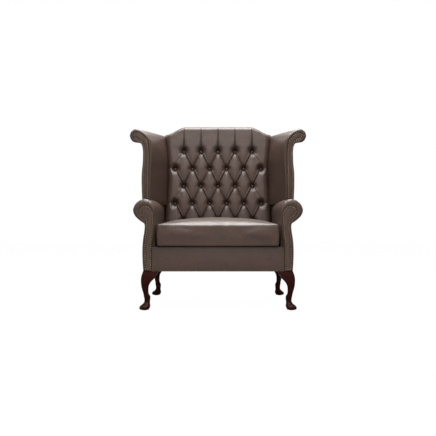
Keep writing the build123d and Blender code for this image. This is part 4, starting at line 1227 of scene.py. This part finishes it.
class LOVESEAT_OT_seat_cushion(bpy.types.Operator):
    """Loose seat cushion, blown up as cloth and seamed"""

    bl_idname = "loveseat.seat_cushion"
    bl_label = "Seat cushion"

    # Height of the underside and of the band, depths of the front and rear, and half widths there
    low = 337.4
    edge_height = 115.6
    front = -1.0
    rear = 545.6
    half_front = 331.0
    half_rear = 320.5
    columns = 68
    rows = 56
    bands = 14
    # Furthest that the pressure may move a point
    most = 7.0 * MM
    # The lower edge is drawn in and rounded, over the last share of the band's height.
    tuck = 5.0
    round = 6.0
    round_from = 0.72

    def execute(self, context):
        self.crown = context.scene.loveseat_sizes.cushion_crown / MM
        points, faces, seam = self.box_skin()
        piece = piece_from("loose_cushion", (points, faces), "leather", body=CUSHION_BODY, sharp=80.0)
        self.blow_up(context, piece, context.scene.loveseat_sizes.sim_frames)
        self.settle(piece, points, seam)
        subdivision = piece.modifiers.new("smooth", "SUBSURF")
        subdivision.levels = subdivision.render_levels = 1
        self.apply(context, piece)
        piece.data.shade_smooth()
        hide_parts("seat_cushion_cover", "seat_cushion_core")
        self.add_zip()
        return {"FINISHED"}

    def half(self, b):
        share = (b + 1) / 2
        return self.half_front + (self.half_rear - self.half_front) * share - 3.0 * sin(pi * share)

    def plan(self, a, b, inset=0.0):
        """Point of the outline in plan, with corners rounded, scaled in from the rim."""
        size = max(abs(a), abs(b))
        if size < 1e-6:
            return 0.0, (self.front + self.rear) / 2
        ea, eb = a / size, b / size
        length = (self.rear - self.front) / 2
        radius = 12.0
        x = ea * self.half(eb)
        y = eb * length
        dx = abs(x) - (self.half(eb) - radius)
        dy = abs(y) - (length - radius)
        if dx > 0 and dy > 0:
            reach = sqrt(dx * dx + dy * dy)
            limit = radius / max(reach, radius)
            x = (abs(x) - dx + dx * limit) * (1 if x > 0 else -1)
            y = (abs(y) - dy + dy * limit) * (1 if y > 0 else -1)
        x *= size * (1 - inset / self.half_front)
        y *= size * (1 - inset / length)
        return x, (self.front + self.rear) / 2 + y

    def box_skin(self):
        """Two panels and a boxing band between them, seams at the band's edges."""
        points, faces = [], []
        grid = [
            (2 * i / self.columns - 1, 2 * j / self.rows - 1)
            for j in range(self.rows + 1)
            for i in range(self.columns + 1)
        ]
        high = self.low + self.edge_height
        for a, b in grid:
            x, depth = self.plan(a, b)
            crown = self.crown * (1 - a**2) ** 0.72 * (1 - abs(b) ** 2.2) ** 0.95
            points.append(place(x, depth, high + crown - 2.0 * abs(a) ** 8))
        count = len(points)
        for a, b in grid:
            x, depth = self.plan(a, b, self.tuck)
            points.append(place(x, depth, self.low))
        for a, b, c, d in grid_faces(self.columns + 1, self.rows + 1):
            faces += [(a, b, c, d), (count + a, count + d, count + c, count + b)]
        rim = grid_rim(self.columns + 1, self.rows + 1)
        before = rim
        for band in range(1, self.bands):
            # The band runs down to its lower edge, which is then rounded under the cushion.
            share = band / self.bands
            angle = max(share - self.round_from, 0.0) / (1 - self.round_from) * pi / 2
            bulge = 3.0 * sin(pi * min(share / 0.8, 1.0))
            ring = range(len(points), len(points) + len(rim))
            for index in rim:
                x, depth = self.plan(*grid[index], self.tuck * (1 - cos(angle)) - bulge)
                top = points[index].z / MM
                level = top - (top - self.low - self.round) * share / self.round_from
                if angle > 0:
                    level = self.low + self.round * (1 - sin(angle))
                points.append(place(x, depth, level))
            faces += [(a, d, c, b) for a, b, c, d in band_faces(before, ring)]
            before = ring
        lower = [count + index for index in rim]
        faces += [(a, d, c, b) for a, b, c, d in band_faces(before, lower)]
        return points, faces, set(rim)

    def apply(self, context, piece):
        context.view_layer.update()
        shape = bpy.data.meshes.new_from_object(piece.evaluated_get(context.evaluated_depsgraph_get()))
        shape.materials.clear()
        shape.materials.append(finish_for("leather"))
        piece.modifiers.clear()
        piece.data = shape

    def blow_up(self, context, piece, frames):
        """Pressure cloth, so that the panels swell between their seams."""
        cloth = piece.modifiers.new("cloth", "CLOTH")
        settings = cloth.settings
        settings.quality = 5
        settings.mass = 0.4
        settings.tension_stiffness = settings.compression_stiffness = 18.0
        settings.shear_stiffness = 10.0
        settings.bending_stiffness = 2.0
        settings.use_pressure = True
        settings.uniform_pressure_force = 2.5
        settings.effector_weights.gravity = 0.0
        cloth.collision_settings.use_collision = False
        cloth.point_cache.frame_start = 1
        cloth.point_cache.frame_end = frames
        for step in range(1, frames + 1):
            context.scene.frame_set(step)
        self.apply(context, piece)
        context.scene.frame_set(1)

    def settle(self, piece, start, seam):
        """Keeps the swelling small and the underside flat, and sinks the seam."""
        for vertex, origin in zip(piece.data.vertices, start):
            moved = vertex.co - origin
            if moved.length > self.most:
                moved *= self.most / moved.length
            spot = origin + moved
            spot.z = max(spot.z, self.low * MM)
            spot.y = max(spot.y, front_y - 5.0 * MM)
            crease = 1.1 * wobble(origin, 38, 11.0) + 0.5 * wobble(origin, 15, 12.0)
            if origin.z > (self.low + 12) * MM:
                spot += Vector((0, -0.5, 0.6)) * crease * MM
            vertex.co = spot
        for index in seam:
            vertex = piece.data.vertices[index]
            centre = place(0, (self.front + self.rear) / 2, vertex.co.z / MM)
            vertex.co += (centre - vertex.co).normalized() * 1.4 * MM
        piece.data.update()

    def add_zip(self):
        low, high = (Vector(corner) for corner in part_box("cushion_zip"))
        middle = (low.z + high.z) / 2
        section = [
            (low.y, low.z), (low.y + 1.0 * MM, low.z + 0.4 * MM), (low.y + 1.1 * MM, middle - 2 * MM),
            (low.y + 1.1 * MM, middle + 2 * MM), (low.y + 1.0 * MM, high.z - 0.4 * MM), (low.y, high.z),
        ]
        steps = 65
        places = [low.x + (high.x - low.x) * step / steps for step in range(steps + 1)]
        loops = [[Vector((x, y, z)) for y, z in section] for x in places]
        tape = piece_from("zip_tape_strip", skin_between(loops), "zip_tape", body=CUSHION_BODY)
        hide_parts("cushion_zip")
        skins = []
        pitch = 3.2 * MM
        outward = Vector((0, 1, 0))
        for tooth in range(int((high.x - low.x) / pitch)):
            lift = 0.7 * MM if tooth % 2 else -0.7 * MM
            spot = Vector((low.x + pitch * (tooth + 0.5), low.y + 1.1 * MM, middle + lift))
            skins.append(dome_skin(spot, outward, 1.5 * MM, 1.2 * MM, 6))
        piece_from("zip_teeth", merged(skins), "zip_metal", body=CUSHION_BODY)


class LOVESEAT_OT_outside_back(bpy.types.Operator):
    """Outside back panel with its welted edge"""

    bl_idname = "loveseat.outside_back"
    bl_label = "Outside back"

    def execute(self, context):
        back = LOVESEAT_OT_inside_back
        half = 379.0
        columns, low_rows, high_rows = 56, 12, 54
        top = peak_rise(back.rim)
        points = []
        for row in range(low_rows + high_rows + 1):
            for column in range(columns + 1):
                a = 2 * column / columns - 1
                x = half * a
                drop = between(back.camel, abs(x)) if abs(x) <= back.camel[-1][0] else 52.6
                crest = top - drop / cos(rake) - 1.5
                if row <= low_rows:
                    share = row / low_rows
                    height = 208.5 + (knee_height - 208.5) * share
                    spot = place(x, knee_depth, height)
                    outward = Vector((0, 1, 0))
                else:
                    rise = crest * (row - low_rows) / high_rows
                    spot = back_place(x, rise, 0)
                    outward = back_outward(-1)
                b = 2 * row / (low_rows + high_rows) - 1
                pad = (1 - abs(a) ** 6) * (1 - abs(b) ** 10)
                lift = -2.4 + 3.2 * pad + 1.0 * pad * wobble(spot, 120, 9.0)
                points.append(spot + outward * lift * MM)
        width, height = columns + 1, low_rows + high_rows + 1
        rim = grid_rim(width, height)
        edge = [points[index].copy() for index in rim]
        ring = range(len(points), len(points) + len(rim))
        points += [point + Vector((0, -2.5, 0)) * MM for point in edge]
        faces = [*grid_faces(width, height), *band_faces(rim, ring), tuple(ring)]
        panel = piece_from("outside_back_panel", (points, faces), "leather", sharp=60.0)
        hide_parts("outside_back_cover")
        piece_from("outside_back_welt", welt_skin(edge, 2.6 * MM, closed=True), "leather")
        return {"FINISHED"}


class LOVESEAT_PT_panel(bpy.types.Panel):
    """Pieces of the loveseat in the sidebar"""

    bl_idname = "LOVESEAT_PT_panel"
    bl_label = "Loveseat"
    bl_space_type = "VIEW_3D"
    bl_region_type = "UI"
    bl_category = "Loveseat"

    def draw(self, context):
        layout = self.layout
        for group in (context.scene.loveseat_sizes, context.scene.loveseat_colours):
            for name in group.bl_rna.properties.keys():
                if name not in ("rna_type", "name"):
                    layout.prop(group, name)
        for operator in OPERATORS:
            layout.operator(operator.bl_idname)


OPERATORS = (
    LOVESEAT_OT_stage,
    LOVESEAT_OT_frame_finishes,
    LOVESEAT_OT_inside_back,
    LOVESEAT_OT_back_buttons,
    LOVESEAT_OT_arms,
    LOVESEAT_OT_wings,
    LOVESEAT_OT_facings,
    LOVESEAT_OT_border,
    LOVESEAT_OT_seat_cushion,
    LOVESEAT_OT_outside_back,
)
CLASSES = (LoveseatSizes, LoveseatColours, *OPERATORS, LOVESEAT_PT_panel)


def register():
    for item in CLASSES:
        bpy.utils.register_class(item)
    bpy.types.Scene.loveseat_sizes = PointerProperty(type=LoveseatSizes)
    bpy.types.Scene.loveseat_colours = PointerProperty(type=LoveseatColours)


def unregister():
    del bpy.types.Scene.loveseat_sizes
    del bpy.types.Scene.loveseat_colours
    for item in reversed(CLASSES):
        bpy.utils.unregister_class(item)


def main():
    register()
    for operator in OPERATORS:
        group, name = operator.bl_idname.split(".")
        result = getattr(getattr(bpy.ops, group), name)()
        if result != {"FINISHED"}:
            raise RuntimeError(f"{operator.bl_label} did not finish")


if __name__ == "__main__":
    main()
